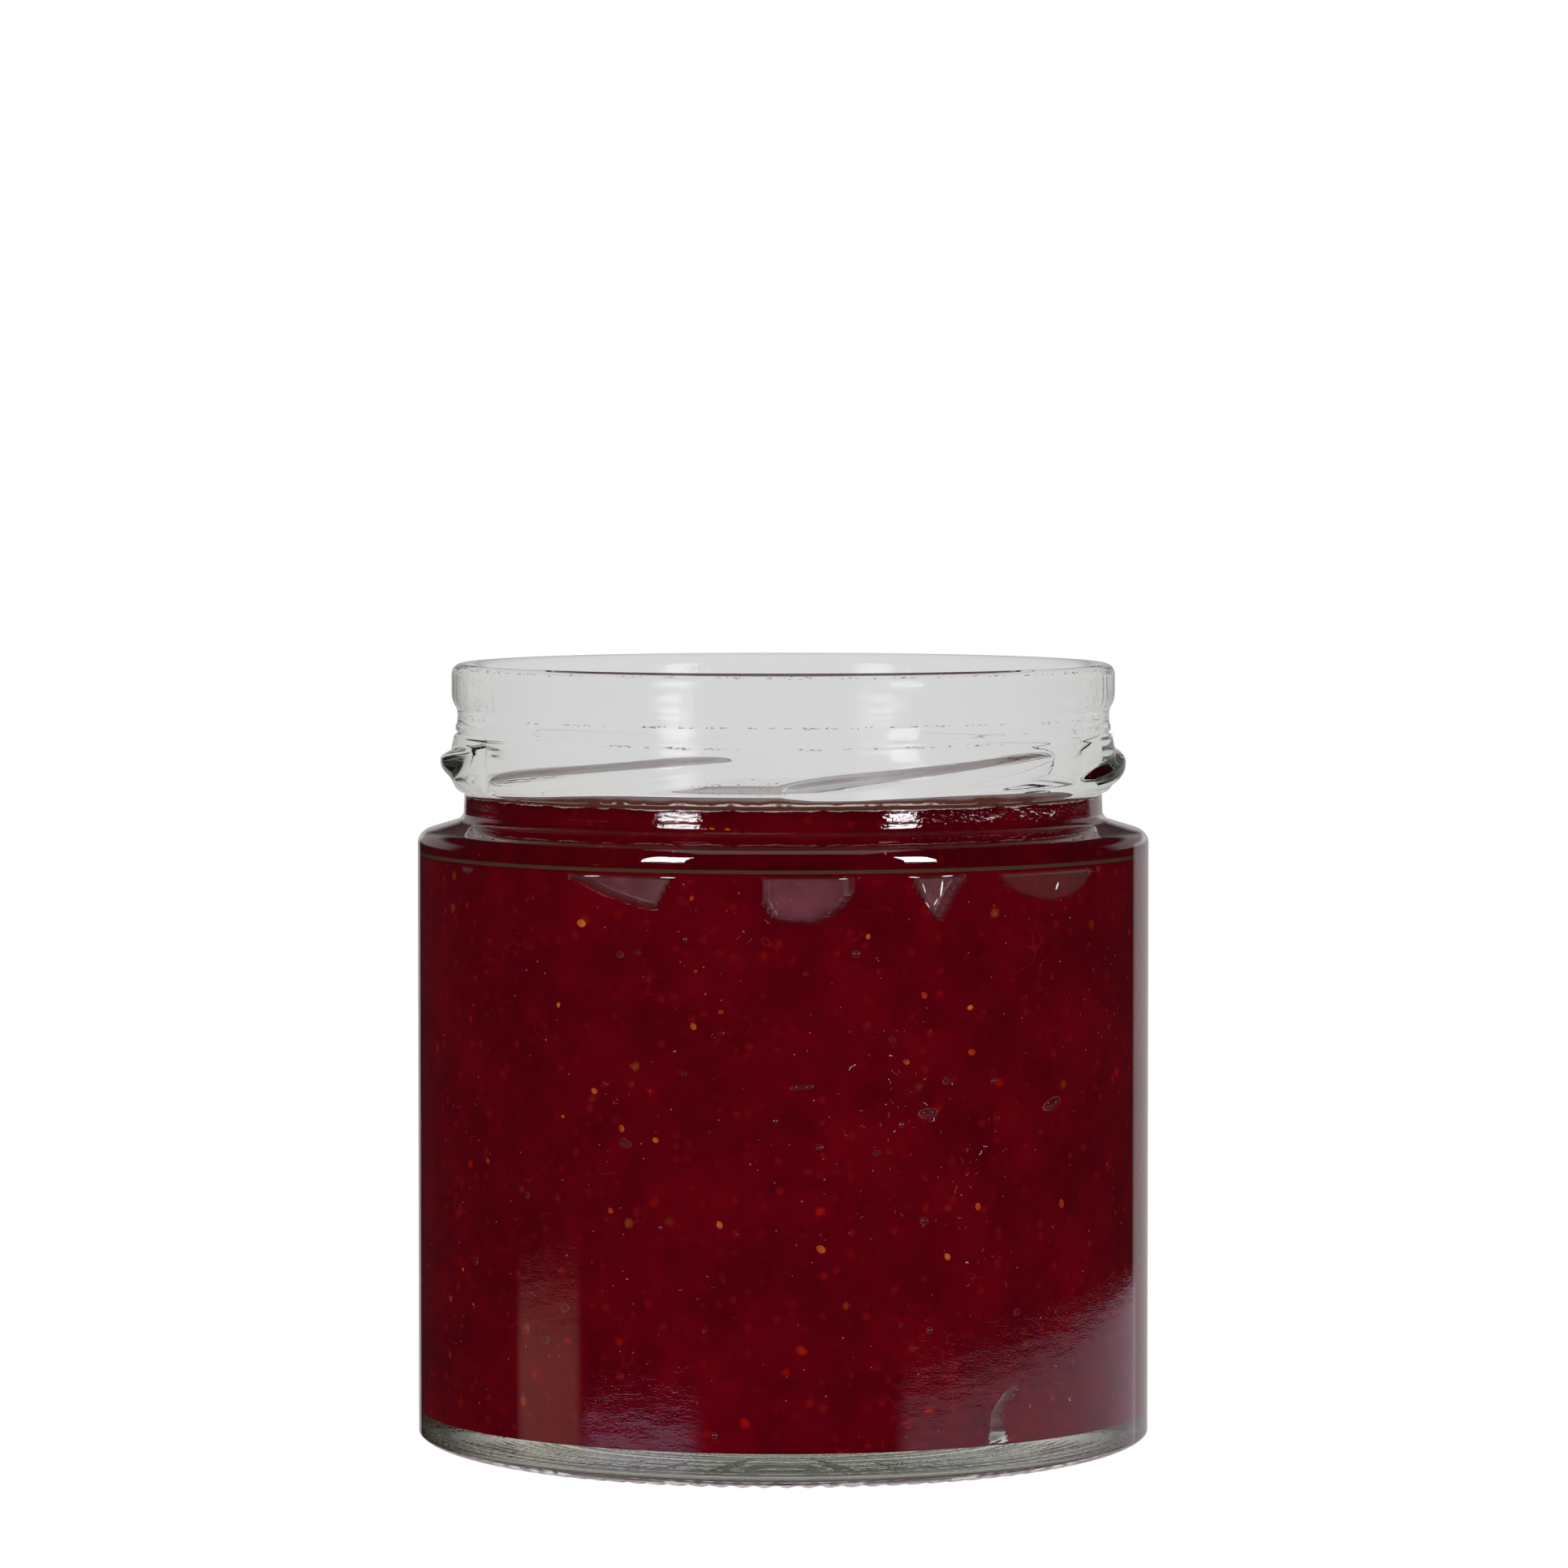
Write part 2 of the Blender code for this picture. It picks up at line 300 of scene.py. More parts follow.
# Centre and radius of the hollow round between the shoulder and the neck.
NECK_FILLET = (38.83 * MM, 75.16 * MM, 1.2 * MM)
FINISH_BOTTOM = 77.0 * MM
BAND_BOTTOM = 78.0 * MM
BAND_TOP = 84.5 * MM
BAND_RADIUS = 39.0 * MM
GROOVE_Z = 86.3 * MM
GROOVE_RADIUS = 38.3 * MM
BEAD_RADIUS = 39.0 * MM
BEAD_BOTTOM = 88.0 * MM
LIP_OUTER = 1.3 * MM
LIP_INNER = 1.5 * MM
BORE_RADIUS = 35.4 * MM
INNER_FILLET = 1.6 * MM
INNER_FILLET_Z = 74.8 * MM
INNER_CORNER = 1.3 * MM
INNER_CORNER_Z = 69.2 * MM
FLOOR_EDGE_Z = 4.2 * MM
FLOOR_CENTRE_Z = 6.0 * MM
FLOOR_CORNER = 3.2 * MM
FOOT_OUTER = 36.2 * MM
FOOT_INNER = 34.0 * MM
FOOT_BEVEL = 0.7 * MM
HEEL_HEIGHT = 2.1 * MM
HEEL_FULLNESS = 1.65
PUSH_UP = 1.9 * MM
JAR_STEPS = 480

# Six thread lugs, each climbing to the right: pitch and span in degrees, the share of the span that each
# rounded tip takes, and flanks in millimetres.
LUG_PITCH = 60.0
LUG_SPAN = 52.0
LUG_TIP = 0.24
LUG_START_Z = 79.2 * MM
LUG_END_Z = 82.4 * MM
LUG_UPPER_FLANK = 1.2
LUG_LOWER_FLANK = 2.5
LUG_TAPER_Z = 82.6 * MM
LUG_TAPER = 0.2

# (height, radius) up the neck in millimetres: it narrows in two steps, with an upright ridge between them.
NECK_STEPS = (
    (74.75, 37.60),
    (75.28, 37.57),
    (75.35, 37.563),
    (75.68, 37.568),
    (75.75, 37.56),
    (76.6, 37.51),
    (77.0, 37.505),
)
# (radius, height) in millimetres, for the step out to the thread's band and down the inside of the shoulder.
BAND_STEP = (
    (37.5, 77.05),
    (37.53, 77.2),
    (37.64, 77.35),
    (38.0, 77.5),
    (38.32, 77.68),
    (38.5, 77.9),
    (38.66, 78.15),
    (38.8, 78.4),
    (38.9, 78.65),
)
INNER_SHOULDER = ((36.1, 72.65), (36.6, 71.95), (37.1, 71.45), (37.7, 71.05), (38.4, 70.75))
# The same from the groove and from the bead's foot, as steps from them.
GROOVE_RISE = ((0, 0), (0.03, 0.5), (0.13, 1.0))
BEAD_ROUND = ((-0.3, -0.25), (-0.12, 0.2), (-0.03, 0.65), (0, 1.2), (0, 2.4))
# Heights in millimetres of the rows above the band, close together where the mould's parting line lies.
PARTING_ROWS = (84.45, 84.75, 84.95, 85.05, 85.15, 85.25, 85.35, 85.5, 85.8)
PARTING_Z = 85.15 * MM
PARTING_HALF = 0.11 * MM

# The mould's upright seams, offset in the finish: azimuth in degrees, share of the full height, where each
# starts and how soon it is whole, and where it starts to fade and how soon it is gone, in millimetres.
SEAMS = (
    (-52, 1.0, 78, 0.4, 86.3, 0.2),
    (-58, 1.0, 87.4, 0.4, 92.0, 0.2),
    (128, 1.0, 78, 0.4, 86.3, 0.2),
    (122, 1.0, 87.4, 0.4, 92.0, 0.2),
    (-52, 0.4, 2, 3, 68, 2),
    (128, 0.4, 2, 3, 68, 2),
)
# Half the width of a seam's ridge, in degrees, and the radius inside which the glass has no mould's marks.
SEAM_HALF = 0.45
MARKED_RADIUS = 37.3 * MM


def neck_radius(z):
    heights, radii = zip(*NECK_STEPS)
    return float(np.interp(z / MM, heights, radii)) * MM


def outer_profile(glass):
    """From the axis under the foot, round the heel and up to the lip's crest."""
    body = glass.body_radius
    edge = glass.knurl_depth
    rim = FOOT_INNER - FOOT_BEVEL
    rise = [(rim * t, PUSH_UP + (edge - PUSH_UP) * t * t) for t in np.linspace(0, 1, 8)]
    ring = arc(FOOT_INNER, edge, edge, 180, 270, 3)[1:]
    ring += between((FOOT_INNER, 0), (FOOT_OUTER, 0), 4)[1:]
    power = 2 / HEEL_FULLNESS
    reach = body - FOOT_OUTER
    heel = []
    for a in np.linspace(0, math.pi / 2, 13)[1:]:
        heel.append((FOOT_OUTER + reach * math.sin(a) ** power, HEEL_HEIGHT * (1 - math.cos(a) ** power)))
    straight = upright(body, HEEL_HEIGHT, SHOULDER_CORNER_Z)
    corner = arc(body - SHOULDER_CORNER, SHOULDER_CORNER_Z, SHOULDER_CORNER, 0, 70, 12)
    shoulder = between(corner[-1], SHOULDER_END, 5)[1:-1]
    fillet = arc(*NECK_FILLET, 256, 202, 9)
    neck = [(neck_radius(z), z) for z in np.arange(74.87, 77.0, 0.12) * MM]
    band = between((BAND_RADIUS, 78.9 * MM), (BAND_RADIUS, 84.0 * MM), 19)
    groove = []
    for z in np.array(PARTING_ROWS) * MM:
        groove.append((GROOVE_RADIUS + 0.4 * MM * ((GROOVE_Z - z) / (2.2 * MM)) ** 1.5, z))
    groove += metres(GROOVE_RISE, GROOVE_RADIUS, GROOVE_Z)
    bead = metres(BEAD_ROUND, BEAD_RADIUS, BEAD_BOTTOM)
    lip = arc(BEAD_RADIUS - LIP_OUTER, glass.height - LIP_OUTER, LIP_OUTER, 0, 90, 10)
    low = rise + ring + heel + straight + corner + shoulder + fillet
    return low + neck + metres(BAND_STEP) + band + groove + bead + lip


def inner_profile(glass):
    """From the bore below the lip, by the inside of the shoulder, down to the middle of the floor."""
    body = glass.body_radius - glass.wall
    neck = NECK_RADIUS - glass.wall
    line = [(neck, z * MM) for z in (77.9, 77.0, 75.8)]
    line += arc(neck + INNER_FILLET, INNER_FILLET_Z, INNER_FILLET, 180, 227, 7)
    line += metres(INNER_SHOULDER)
    line += arc(body - INNER_CORNER, INNER_CORNER_Z, INNER_CORNER, 84, 0, 12)
    line += upright(body, FLOOR_EDGE_Z + FLOOR_CORNER, INNER_CORNER_Z)[::-1]
    middle = body - FLOOR_CORNER
    line += arc(middle, FLOOR_EDGE_Z + FLOOR_CORNER, FLOOR_CORNER, 0, -84, 12)
    rise = FLOOR_CENTRE_Z - FLOOR_EDGE_Z
    low = FLOOR_EDGE_Z + 0.03 * MM
    line += [(middle * t, low + rise * (1 - t)) for t in (0.8, 0.6, 0.4, 0.2, 0)]
    return line


def filling_profile(glass, jam):
    """The inside of the glass as the filling meets it, from the floor's middle up: just into the wall, but a
    film of air short of the floor, so that the glass under the jam stays clear to look along."""
    line = np.array(inner_profile(glass)[::-1])
    along = np.gradient(line, axis=0)
    along /= np.hypot(along[:, 0], along[:, 1])[:, None]
    out = np.stack([along[:, 1], -along[:, 0]], 1)
    # 1 on the floor, where the glass faces up, and 0 on the walls.
    flat = smooth(-out[:, 1], 0.95, 0.98)
    move = jam.reach * (1 - flat) - jam.film * flat
    line += out * move[:, None]
    line[0, 0] = 0
    return [tuple(p) for p in line]


def bore_profile(glass):
    """From the lip's crest down to the bore, which narrows a little downwards."""
    crest = BEAD_RADIUS - LIP_OUTER
    width = crest - BORE_RADIUS
    lip = []
    for a in np.linspace(0, math.pi / 2, 9)[1:]:
        lip.append((crest - width * math.sin(a), glass.height - LIP_INNER * (1 - math.cos(a))))
    return lip + [(BORE_RADIUS - 0.02 * MM, glass.height - 4 * MM), (BORE_RADIUS - 0.15 * MM, 84 * MM)]


def lug_crest(azimuth):
    """Height of the thread's crest at each azimuth, and how full the lug is there, from 0 to 1."""
    along = (azimuth % LUG_PITCH) / LUG_SPAN
    end = np.clip(np.minimum(along, 1 - along) / LUG_TIP, 0, 1)
    full = np.sqrt(np.clip(1 - (1 - end) ** 2, 0, 1))
    return LUG_START_Z + (LUG_END_Z - LUG_START_Z) * np.clip(along, 0, 1), full


def shape_lugs(points, glass):
    """Lifts the lugs out of their band: a lens with a sharp upper flank and a long lower one."""
    radius = radii_of(points)
    on_band = (radius > BAND_RADIUS - 0.9 * MM) & (points[:, 2] > BAND_BOTTOM) & (points[:, 2] < BAND_TOP)
    crest, full = lug_crest(azimuths(points))
    rise = (points[:, 2] - crest) / MM
    flank = np.where(rise > 0, LUG_UPPER_FLANK, LUG_LOWER_FLANK) * (0.25 + 0.75 * full)
    section = smooth(1 - np.abs(rise / flank) ** 1.5, 0, 1)
    taper = np.clip((points[:, 2] - LUG_TAPER_Z) * LUG_TAPER, 0, None)
    push_out(points, radius, np.where(on_band, glass.lug_height * section * full - taper, 0))


def shape_foot(points, glass):
    """Knurled bars on the foot ring, as many as the mould has, fading into the heel and the push-up."""
    radius = radii_of(points)
    under = (points[:, 2] < 1.1 * MM) & (radius > 30 * MM)
    fade = smooth(radius, 32.9 * MM, 33.8 * MM) * (1 - smooth(radius, 38.6 * MM, 41.2 * MM))
    turn = np.radians(azimuths(points)) * glass.knurls
    notch = 0.5 - 0.5 * np.cos(turn - math.radians(60))
    points[:, 2] += np.where(under, glass.knurl_depth * fade * notch**1.3, 0)


def shape_seams(points, glass):
    """The mould's marks: its upright seams and a ragged parting line."""
    radius = radii_of(points)
    azimuth = azimuths(points)
    z = points[:, 2]
    out = np.zeros(len(points))
    for middle, share, low, whole, high, gone in SEAMS:
        ridge = np.exp(-((around(azimuth, middle) / SEAM_HALF) ** 2))
        rise = smooth(z, low * MM, (low + whole) * MM)
        fall = smooth(z, high * MM, (high + gone) * MM)
        out += share * glass.seam_height * ridge * rise * (1 - fall)
    turn = np.radians(azimuth)
    ragged = np.sin(37 * turn) * np.sin(91 * turn + 1) + 0.6 * np.sin(173 * turn) * np.sin(61 * turn + 2)
    parting = np.exp(-(((z - PARTING_Z) / PARTING_HALF) ** 2)) * np.clip(0.35 + 0.9 * ragged, 0, 1.2)
    out += 1.1 * glass.seam_height * parting
    push_out(points, radius, np.where(radius > MARKED_RADIUS, out, 0))


def glass_material(glass, name, ior, coat):
    """Soda-lime flint glass, pressed and blown: clear, with the marks of its mould, and a faint green that
    only shows along thick edges. Shadows and soft light pass straight through it."""
    made, tree = new_material(name)
    place = add_node(tree, "TexCoord", None, "Object")
    x, y, height = add_node(tree, "SeparateXYZ", {0: place}).node.outputs
    # Rings about the axis, which wander a little as they go round.
    flat = add_node(tree, "CombineXYZ", {0: x, 1: y})
    out = add_node(tree, "VectorMath", {"operation": "LENGTH", 0: flat}, "Value")
    slow = add_node(tree, "VectorMath", {"operation": "SCALE", 0: flat, "Scale": 0.012})
    turned = add_node(tree, "CombineXYZ", {0: out})
    ring = add_node(tree, "VectorMath", {"operation": "ADD", 0: turned, 1: slow})
    # Each mark lies on the one before: the place it reads, or how many times as wide as tall it is, its
    # noise's scale and detail, its bump's strength and height in metres, and the shares that keep it to one
    # zone.
    marks = (
        # Orange peel from the mould, all over: 4 mm wide, which softens every reflection.
        (2.5, 240.0, 2.5, 0.3, 0.000011, ()),
        # A finer ripple on it, 0.4 mm wide, which frays the edge of every reflection.
        (2.0, 2500.0, 1.0, 0.3, 0.0000035, ()),
        # Rings 1.5 mm apart in the floor and under it, where plunger and base plate pressed the glass.
        (ring, 650.0, 2.5, 1.0, 0.0004, ((height, 0.0068, 0.0062), (out, 0.0385, 0.0375))),
        # Fine grain on the neck, 0.7 mm wide, where the glass froze against the iron.
        (2.4, 1400.0, 2.0, 0.8, 0.00003, window(height, 0.0748, 0.0772, 0.0003)),
        # Drag marks 1.1 mm wide up the bead, drawn out past its height.
        (0.08, 900.0, 2.0, 0.6, 0.00025, window(height, 0.0876, 0.0912, 0.0005)),
    )
    normal = {}
    for at, scale, detail, strength, distance, zone in marks:
        if isinstance(at, float):
            at = add_node(tree, "Mapping", {"Scale": (1.0, 1.0, at), "Vector": place})
        noise = add_node(tree, "TexNoise", {"Scale": scale, "Detail": detail, "Vector": at})
        bump = {"Strength": strength, "Distance": distance, "Height": mask(tree, noise, *zone), **normal}
        normal = {"Normal": add_node(tree, "Bump", bump)}
    clear = {"Base Color": (1, 1, 1, 1), "Roughness": 0.0, "IOR": ior, "Transmission Weight": 1.0}
    gloss = {"Coat Weight": coat, "Coat Roughness": 0.12}
    surface = add_node(tree, "BsdfPrincipled", {**clear, **gloss, **normal})
    passing = add_node(tree, "BsdfTransparent", {"Color": (0.96, 0.97, 0.96, 1)})
    path = add_node(tree, "LightPath").node
    for ray in ("Is Diffuse Ray", "Is Shadow Ray"):
        surface = add_node(tree, "MixShader", {0: path.outputs[ray], 1: surface, 2: passing})
    depth = add_node(tree, "VolumeAbsorption", {"Color": glass.tint, "Density": 22.0})
    add_node(tree, "OutputMaterial", {"Surface": surface, "Volume": depth})
    return made


class JAMJAR_OT_glass(bpy.types.Operator):
    """Turn the glass jar from its profile, and give it lugs, knurled foot and mould seams"""

    bl_idname = "jamjar.glass"
    bl_label = "Add Glass Jar"

    def execute(self, context):
        glass = context.scene.jamjar_glass
        profile = outer_profile(glass) + bore_profile(glass) + inner_profile(glass)
        jar = spun("glass_jar", profile, JAR_STEPS)
        points = points_of(jar)
        shape_lugs(points, glass)
        shape_foot(points, glass)
        shape_seams(points, glass)
        put_points(jar, points)
        # The finish is drawn thin and clear: it bends light little, and a coat gives it glass's own gloss.
        body = glass_material(glass, "flint_glass_pressed_and_blown", 1.52, 0.0)
        finish = glass_material(glass, "flint_glass_fire_polished_finish", 1.07, 0.13)
        middles = np.empty(len(jar.data.polygons) * 3)
        jar.data.polygons.foreach_get("center", middles)
        on_finish = middles.reshape(-1, 3)[:, 2] > FINISH_BOTTOM
        jar.data.polygons.foreach_set("material_index", on_finish.astype(np.int32))
        finish_piece(jar, "glass", (body, finish), "jar")
        return {"FINISHED"}


# ---------------------------------------------------------------- the jam

JAM_STEPS = 540
# Rows over the jam's top, as shares of its radius: close together where the smear comes down from the glass.
TOP_ROWS = (0.9985, 0.9965, 0.994, 0.991, 0.987, 0.982, 0.975, 0.966, 0.955, 0.943, 0.93, 0.9, 0.865, 0.825)
TOP_ROWS += (0.78, 0.73, 0.68, *np.linspace(0.62, 0.14, 9), 0.07, 0)

# Air pockets under the shoulder: the azimuths they span, how deep they are, and the height of their lower
# edge at even steps across, in millimetres. Those at the front are wide and flat, with one funnel that ends
# in a drip.
POCKETS = (
    (-36.0, -18.0, 1.0, (69.3, 68.7, 68.0, 67.3, 66.7, 66.25, 65.95, 69.3)),
    (-3.2, 10.8, 1.0, (67.0, 64.9, 64.6, 64.5, 64.5, 65.0, 66.0, 67.9)),
    (21.0, 29.6, 1.0, (68.8, 67.2, 65.6, 64.6, 66.2, 67.9, 69.0)),
    (36.5, 57.5, 0.33, (69.0, 67.6, 66.8, 66.4, 66.3, 66.5, 67.4, 69.0)),
    (96.0, 112.0, 0.8, (68.6, 66.8, 65.6, 66.4, 67.5, 69.2)),
    (133.0, 152.0, 0.8, (69.4, 68.6, 67.2, 66.2, 66.8, 68.6)),
    (180.0, 192.0, 0.8, (68.0, 65.2, 64.8, 65.6, 67.4, 69.0)),
    (221.0, 241.0, 0.8, (69.3, 68.0, 66.9, 66.2, 66.3, 68.5)),
    (262.0, 272.0, 0.8, (69.0, 67.8, 66.6, 66.8, 67.9, 69.0)),
    (-61.6, -58.4, 1.0, (69.2, 68.9, 68.9, 69.2)),
)
POCKET_TOP = 69.45
SMEAR = 2.7 * MM
# The jam's side ends below this height and outside this radius. Its pockets and channel stay within it.
SIDE_TOP = 70 * MM
SIDE_RADIUS = 34 * MM


def smear_share(azimuth):
    """How far the smear of jam climbs the neck: all the way at the front, and hardly at all at the back."""
    return 0.12 + 0.88 * smooth(120 - np.abs(azimuth), 0, 60)


def jam_top(radius, azimuth, x, y, jam):
    """Height of the jam's free surface: slow, low lumps, and a smear that clings to the glass."""
    cling = np.exp(-np.clip(34.98 * MM - radius, 0, None) / (0.5 * MM))
    a, b = x / MM, y / MM
    lumps = np.sin(0.19 * a + 1.1) * np.cos(0.16 * b - 0.4) + 0.6 * np.sin(0.25 * b + 0.22 * a)
    fine = np.sin(0.63 * a + 0.4 * b) * np.sin(0.51 * b - 0.52 * a + 1.3)
    lift = 0.09 * lumps + 0.022 * fine + 0.25 * (radius / (34.9 * MM)) ** 12
    return jam.level + lift * MM * (1 - cling) + SMEAR * smear_share(azimuth) * cling


def jam_profile(glass, jam):
    """From the middle of the floor up the wall, with close rows at the channel and the pockets, then over
    the top."""
    wall = filling_profile(glass, jam)
    body = glass.body_radius - glass.wall + jam.reach
    neck = NECK_RADIUS - glass.wall + jam.reach
    line = [p for p in wall if p[1] < 7.5 * MM]
    for heights in (np.arange(7.6, 12.5, 0.32), np.linspace(13.4, 62.4, 16), np.arange(63.2, 69.05, 0.2)):
        line += [(body, z) for z in heights * MM]
    line += [p for p in wall if 69.1 * MM < p[1] < jam.level - 1.3 * MM]
    line += [(neck, jam.level + z * MM) for z in (-1.2, -0.8, -0.4, 0)]
    line += [(neck, jam.level + SMEAR * t) for t in np.linspace(0.12, 0.98, 9)]
    return line + [(neck * t, jam.level + SMEAR) for t in TOP_ROWS]


def pocket_depth(azimuth, z):
    """How deep the jam stands back from the glass, from 0 to 1, at each azimuth and height."""
    depth = np.zeros(len(z))
    mm = z / MM
    wander = 0.5 * np.sin(azimuth * 0.9) + 0.3 * np.sin(azimuth * 2.3 + 1)
    for start, end, full, edge in POCKETS:
        off = around(azimuth, (start + end) / 2)
        half = (end - start) / 2
        across = np.clip((off / half + 1) / 2, 0, 1)
        low = np.interp(across, np.linspace(0, 1, len(edge)), edge) + 0.08 * wander
        sides = smooth(half - np.abs(off), 0, 0.7)
        rise = smooth(mm, low, low + 0.45)
        top = 1 - smooth(mm, POCKET_TOP, POCKET_TOP + 0.15)
        depth = np.maximum(depth, full * sides * rise * top)
    # A curved channel near the floor, wider at its foot.
    t = np.clip((mm - 4.6) / 6.4, 0, 1)
    middle = 37.3 - 1.7 * np.sin(3.6 * t) + 1.25 * t**4
    half = 0.9 + 1.0 * (1 - t) ** 3
    sides = smooth(half - np.abs(around(azimuth, middle)), 0, 0.5)
    channel = sides * smooth(mm, 4.3, 4.6) * (1 - smooth(mm, 10.6, 11.0))
    return np.maximum(depth, 0.75 * channel)


def jam_colour(tree, place, jam):
    """Colour of the jam: clouds about 9 mm wide with a fine grain, fine pulp, spots of coarser pulp from
    orange-red to ochre, and faint paler fibres."""
    clouds = add_node(tree, "TexNoise", {"Scale": 110.0, "Detail": 6.0, "Roughness": 0.72, "Vector": place})
    # Pulp lies in cells, 4 mm wide for the coarse and 1.6 mm for the fine, with ragged outlines. Only what
    # is within 0.8 mm of the glass shows.
    ragged = add_node(tree, "TexNoise", {"Scale": 1500.0, "Detail": 2.0, "Vector": place}, "Color")
    push = add_node(tree, "VectorMath", {"operation": "SCALE", 0: ragged, "Scale": 0.0007})
    nudged = add_node(tree, "VectorMath", {"operation": "ADD", 0: place, 1: push})
    coarse = add_node(tree, "TexVoronoi", {"Scale": 250.0, "Vector": nudged})
    ripeness, chance, _ = add_node(tree, "SeparateColor", {0: coarse.node.outputs["Color"]}).node.outputs
    ochre = painted(tree, jam.pulp, (jam.ochre, mask(tree, (ripeness, 0.45, 0.95))))
    spots = mask(tree, (coarse, 0.19, 0.06), (chance, 0.1, 1.2))
    fine = add_node(tree, "TexVoronoi", {"Scale": 620.0, "Vector": nudged})
    chance = add_node(tree, "SeparateColor", {0: fine.node.outputs["Color"]})
    specks = mask(tree, (fine, 0.42, 0.1), (chance, 0.35, 1.5))
    # Fibres of skin: thin curved streaks 0.3 mm wide in patches, barely paler than the jelly.
    swirl = add_node(tree, "TexNoise", {"Scale": 190.0, "Detail": 1.0, "Vector": place})
    patch = add_node(tree, "TexNoise", {"Scale": 150.0, "Detail": 2.0, "Vector": nudged})
    fibres = mask(tree, *window(swirl, 0.497, 0.503, 0.008), (patch, 0.52, 0.72))
    over_clouds = ((jam.fine_pulp, specks), (ochre, spots), (jam.fibre, fibres))
    return painted(tree, jam.deep, (jam.bright, mask(tree, (clouds, 0.34, 0.70))), *over_clouds)


def smear_and_painted_lines(tree, place, jam):
    """The jam's colour with the thin smear it leaves above its level, brown and then milky, with a painted
    highlight as a pale wavy line at each edge, and a painted olive line of shade where the shoulder's
    inner corner turns the view aside."""
    height = add_node(tree, "SeparateXYZ", {0: place}, "Z")
    # The smear's edges wander by 0.3 mm over every 4 mm, and its lines of painted highlight are broken.
    wander = add_node(tree, "TexNoise", {"Scale": 260.0, "Detail": 3.0, "Vector": place})
    waved = add_node(tree, "Math", {"operation": "MULTIPLY_ADD", 0: wander, 1: 0.0007, 2: height})
    broken = (wander, 0.42, 0.5)

    def at(*heights):
        return [jam.level + z * MM for z in heights]

    layers = (
        ("#5F352F", ((waved, *at(1.35, 1.6)),)),
        ("#857678", ((waved, *at(2.5, 2.85)),)),
        # Painted highlights: pale wavy lines for the lamps' glints at the smear's two edges.
        ("#D2C6C2", (*window(waved, *at(1.38, 1.46), 0.04 * MM), broken)),
        ("#D2C6C2", (*window(waved, *at(2.3, 2.37), 0.04 * MM), broken)),
        # Painted shade: a dark olive line where the shoulder's inner corner turns the view aside.
        ("#463627", window(height, 70.08 * MM, 70.40 * MM, 0.06 * MM)),
    )
    return painted(tree, jam_colour(tree, place, jam), *((tint, mask(tree, *zone)) for tint, zone in layers))


def jam_wall_material(jam):
    """Set berry jam pressed against the glass: clear dark red jelly with paler pulp in it. It has no
    gloss of its own, because glass and jelly bend light nearly alike."""
    made, tree = new_material("set_jam_against_glass")
    place = add_node(tree, "TexCoord", None, "Object")
    dull = {"Roughness": 0.6, "IOR": 1.42, "Specular IOR Level": 0.0}
    give_surface(tree, {**dull, "Base Color": smear_and_painted_lines(tree, place, jam)})
    return made


def jam_open_material(jam):
    """The same jam where it meets air, wet and glossy, with low dimples about 5 mm apart in its skin."""
    made, tree = new_material("set_jam_wet_surface")
    place = add_node(tree, "TexCoord", None, "Object")
    lumps = add_node(tree, "TexNoise", {"Scale": 200.0, "Detail": 2.0, "Vector": place})
    bump = add_node(tree, "Bump", {"Strength": 0.5, "Distance": 0.00004, "Height": lumps})
    wet = {"Roughness": 0.06, "IOR": 1.42, "Normal": bump}
    give_surface(tree, {**wet, "Base Color": jam_colour(tree, place, jam)})
    return made


def jam_pocket_reflection_material(jam):
    """The jam's skin in an air pocket behind the glass: wet, with a painted reflection laid over it, a milky
    mauve for the light that the gap scatters, darker in patches 4 mm across. At the pocket's edge it turns
    back into plain jam."""
    made, tree = new_material("set_jam_in_air_pocket_painted_reflection")
    place = add_node(tree, "TexCoord", None, "Object")
    thin = add_node(tree, "TexNoise", {"Scale": 260.0, "Detail": 3.0, "Vector": place})
    thick = add_node(tree, "MapRange", {"From Min": 0.3, "From Max": 0.65, "Value": thin})
    # Painted reflection: milky mauve, darker in patches, laid over the jam as far as the pocket goes.
    skin = painted(tree, jam.pocket_reflection_dark, (jam.skin, thick))
    air = add_node(tree, "Attribute", {"attribute_name": "air_behind_glass"}, "Fac")
    tint = painted(tree, jam_colour(tree, place, jam), (skin, mask(tree, (air, 0.25, 0.6))))
    give_surface(tree, {"Roughness": 0.16, "IOR": 1.4, "Base Color": tint})
    return made


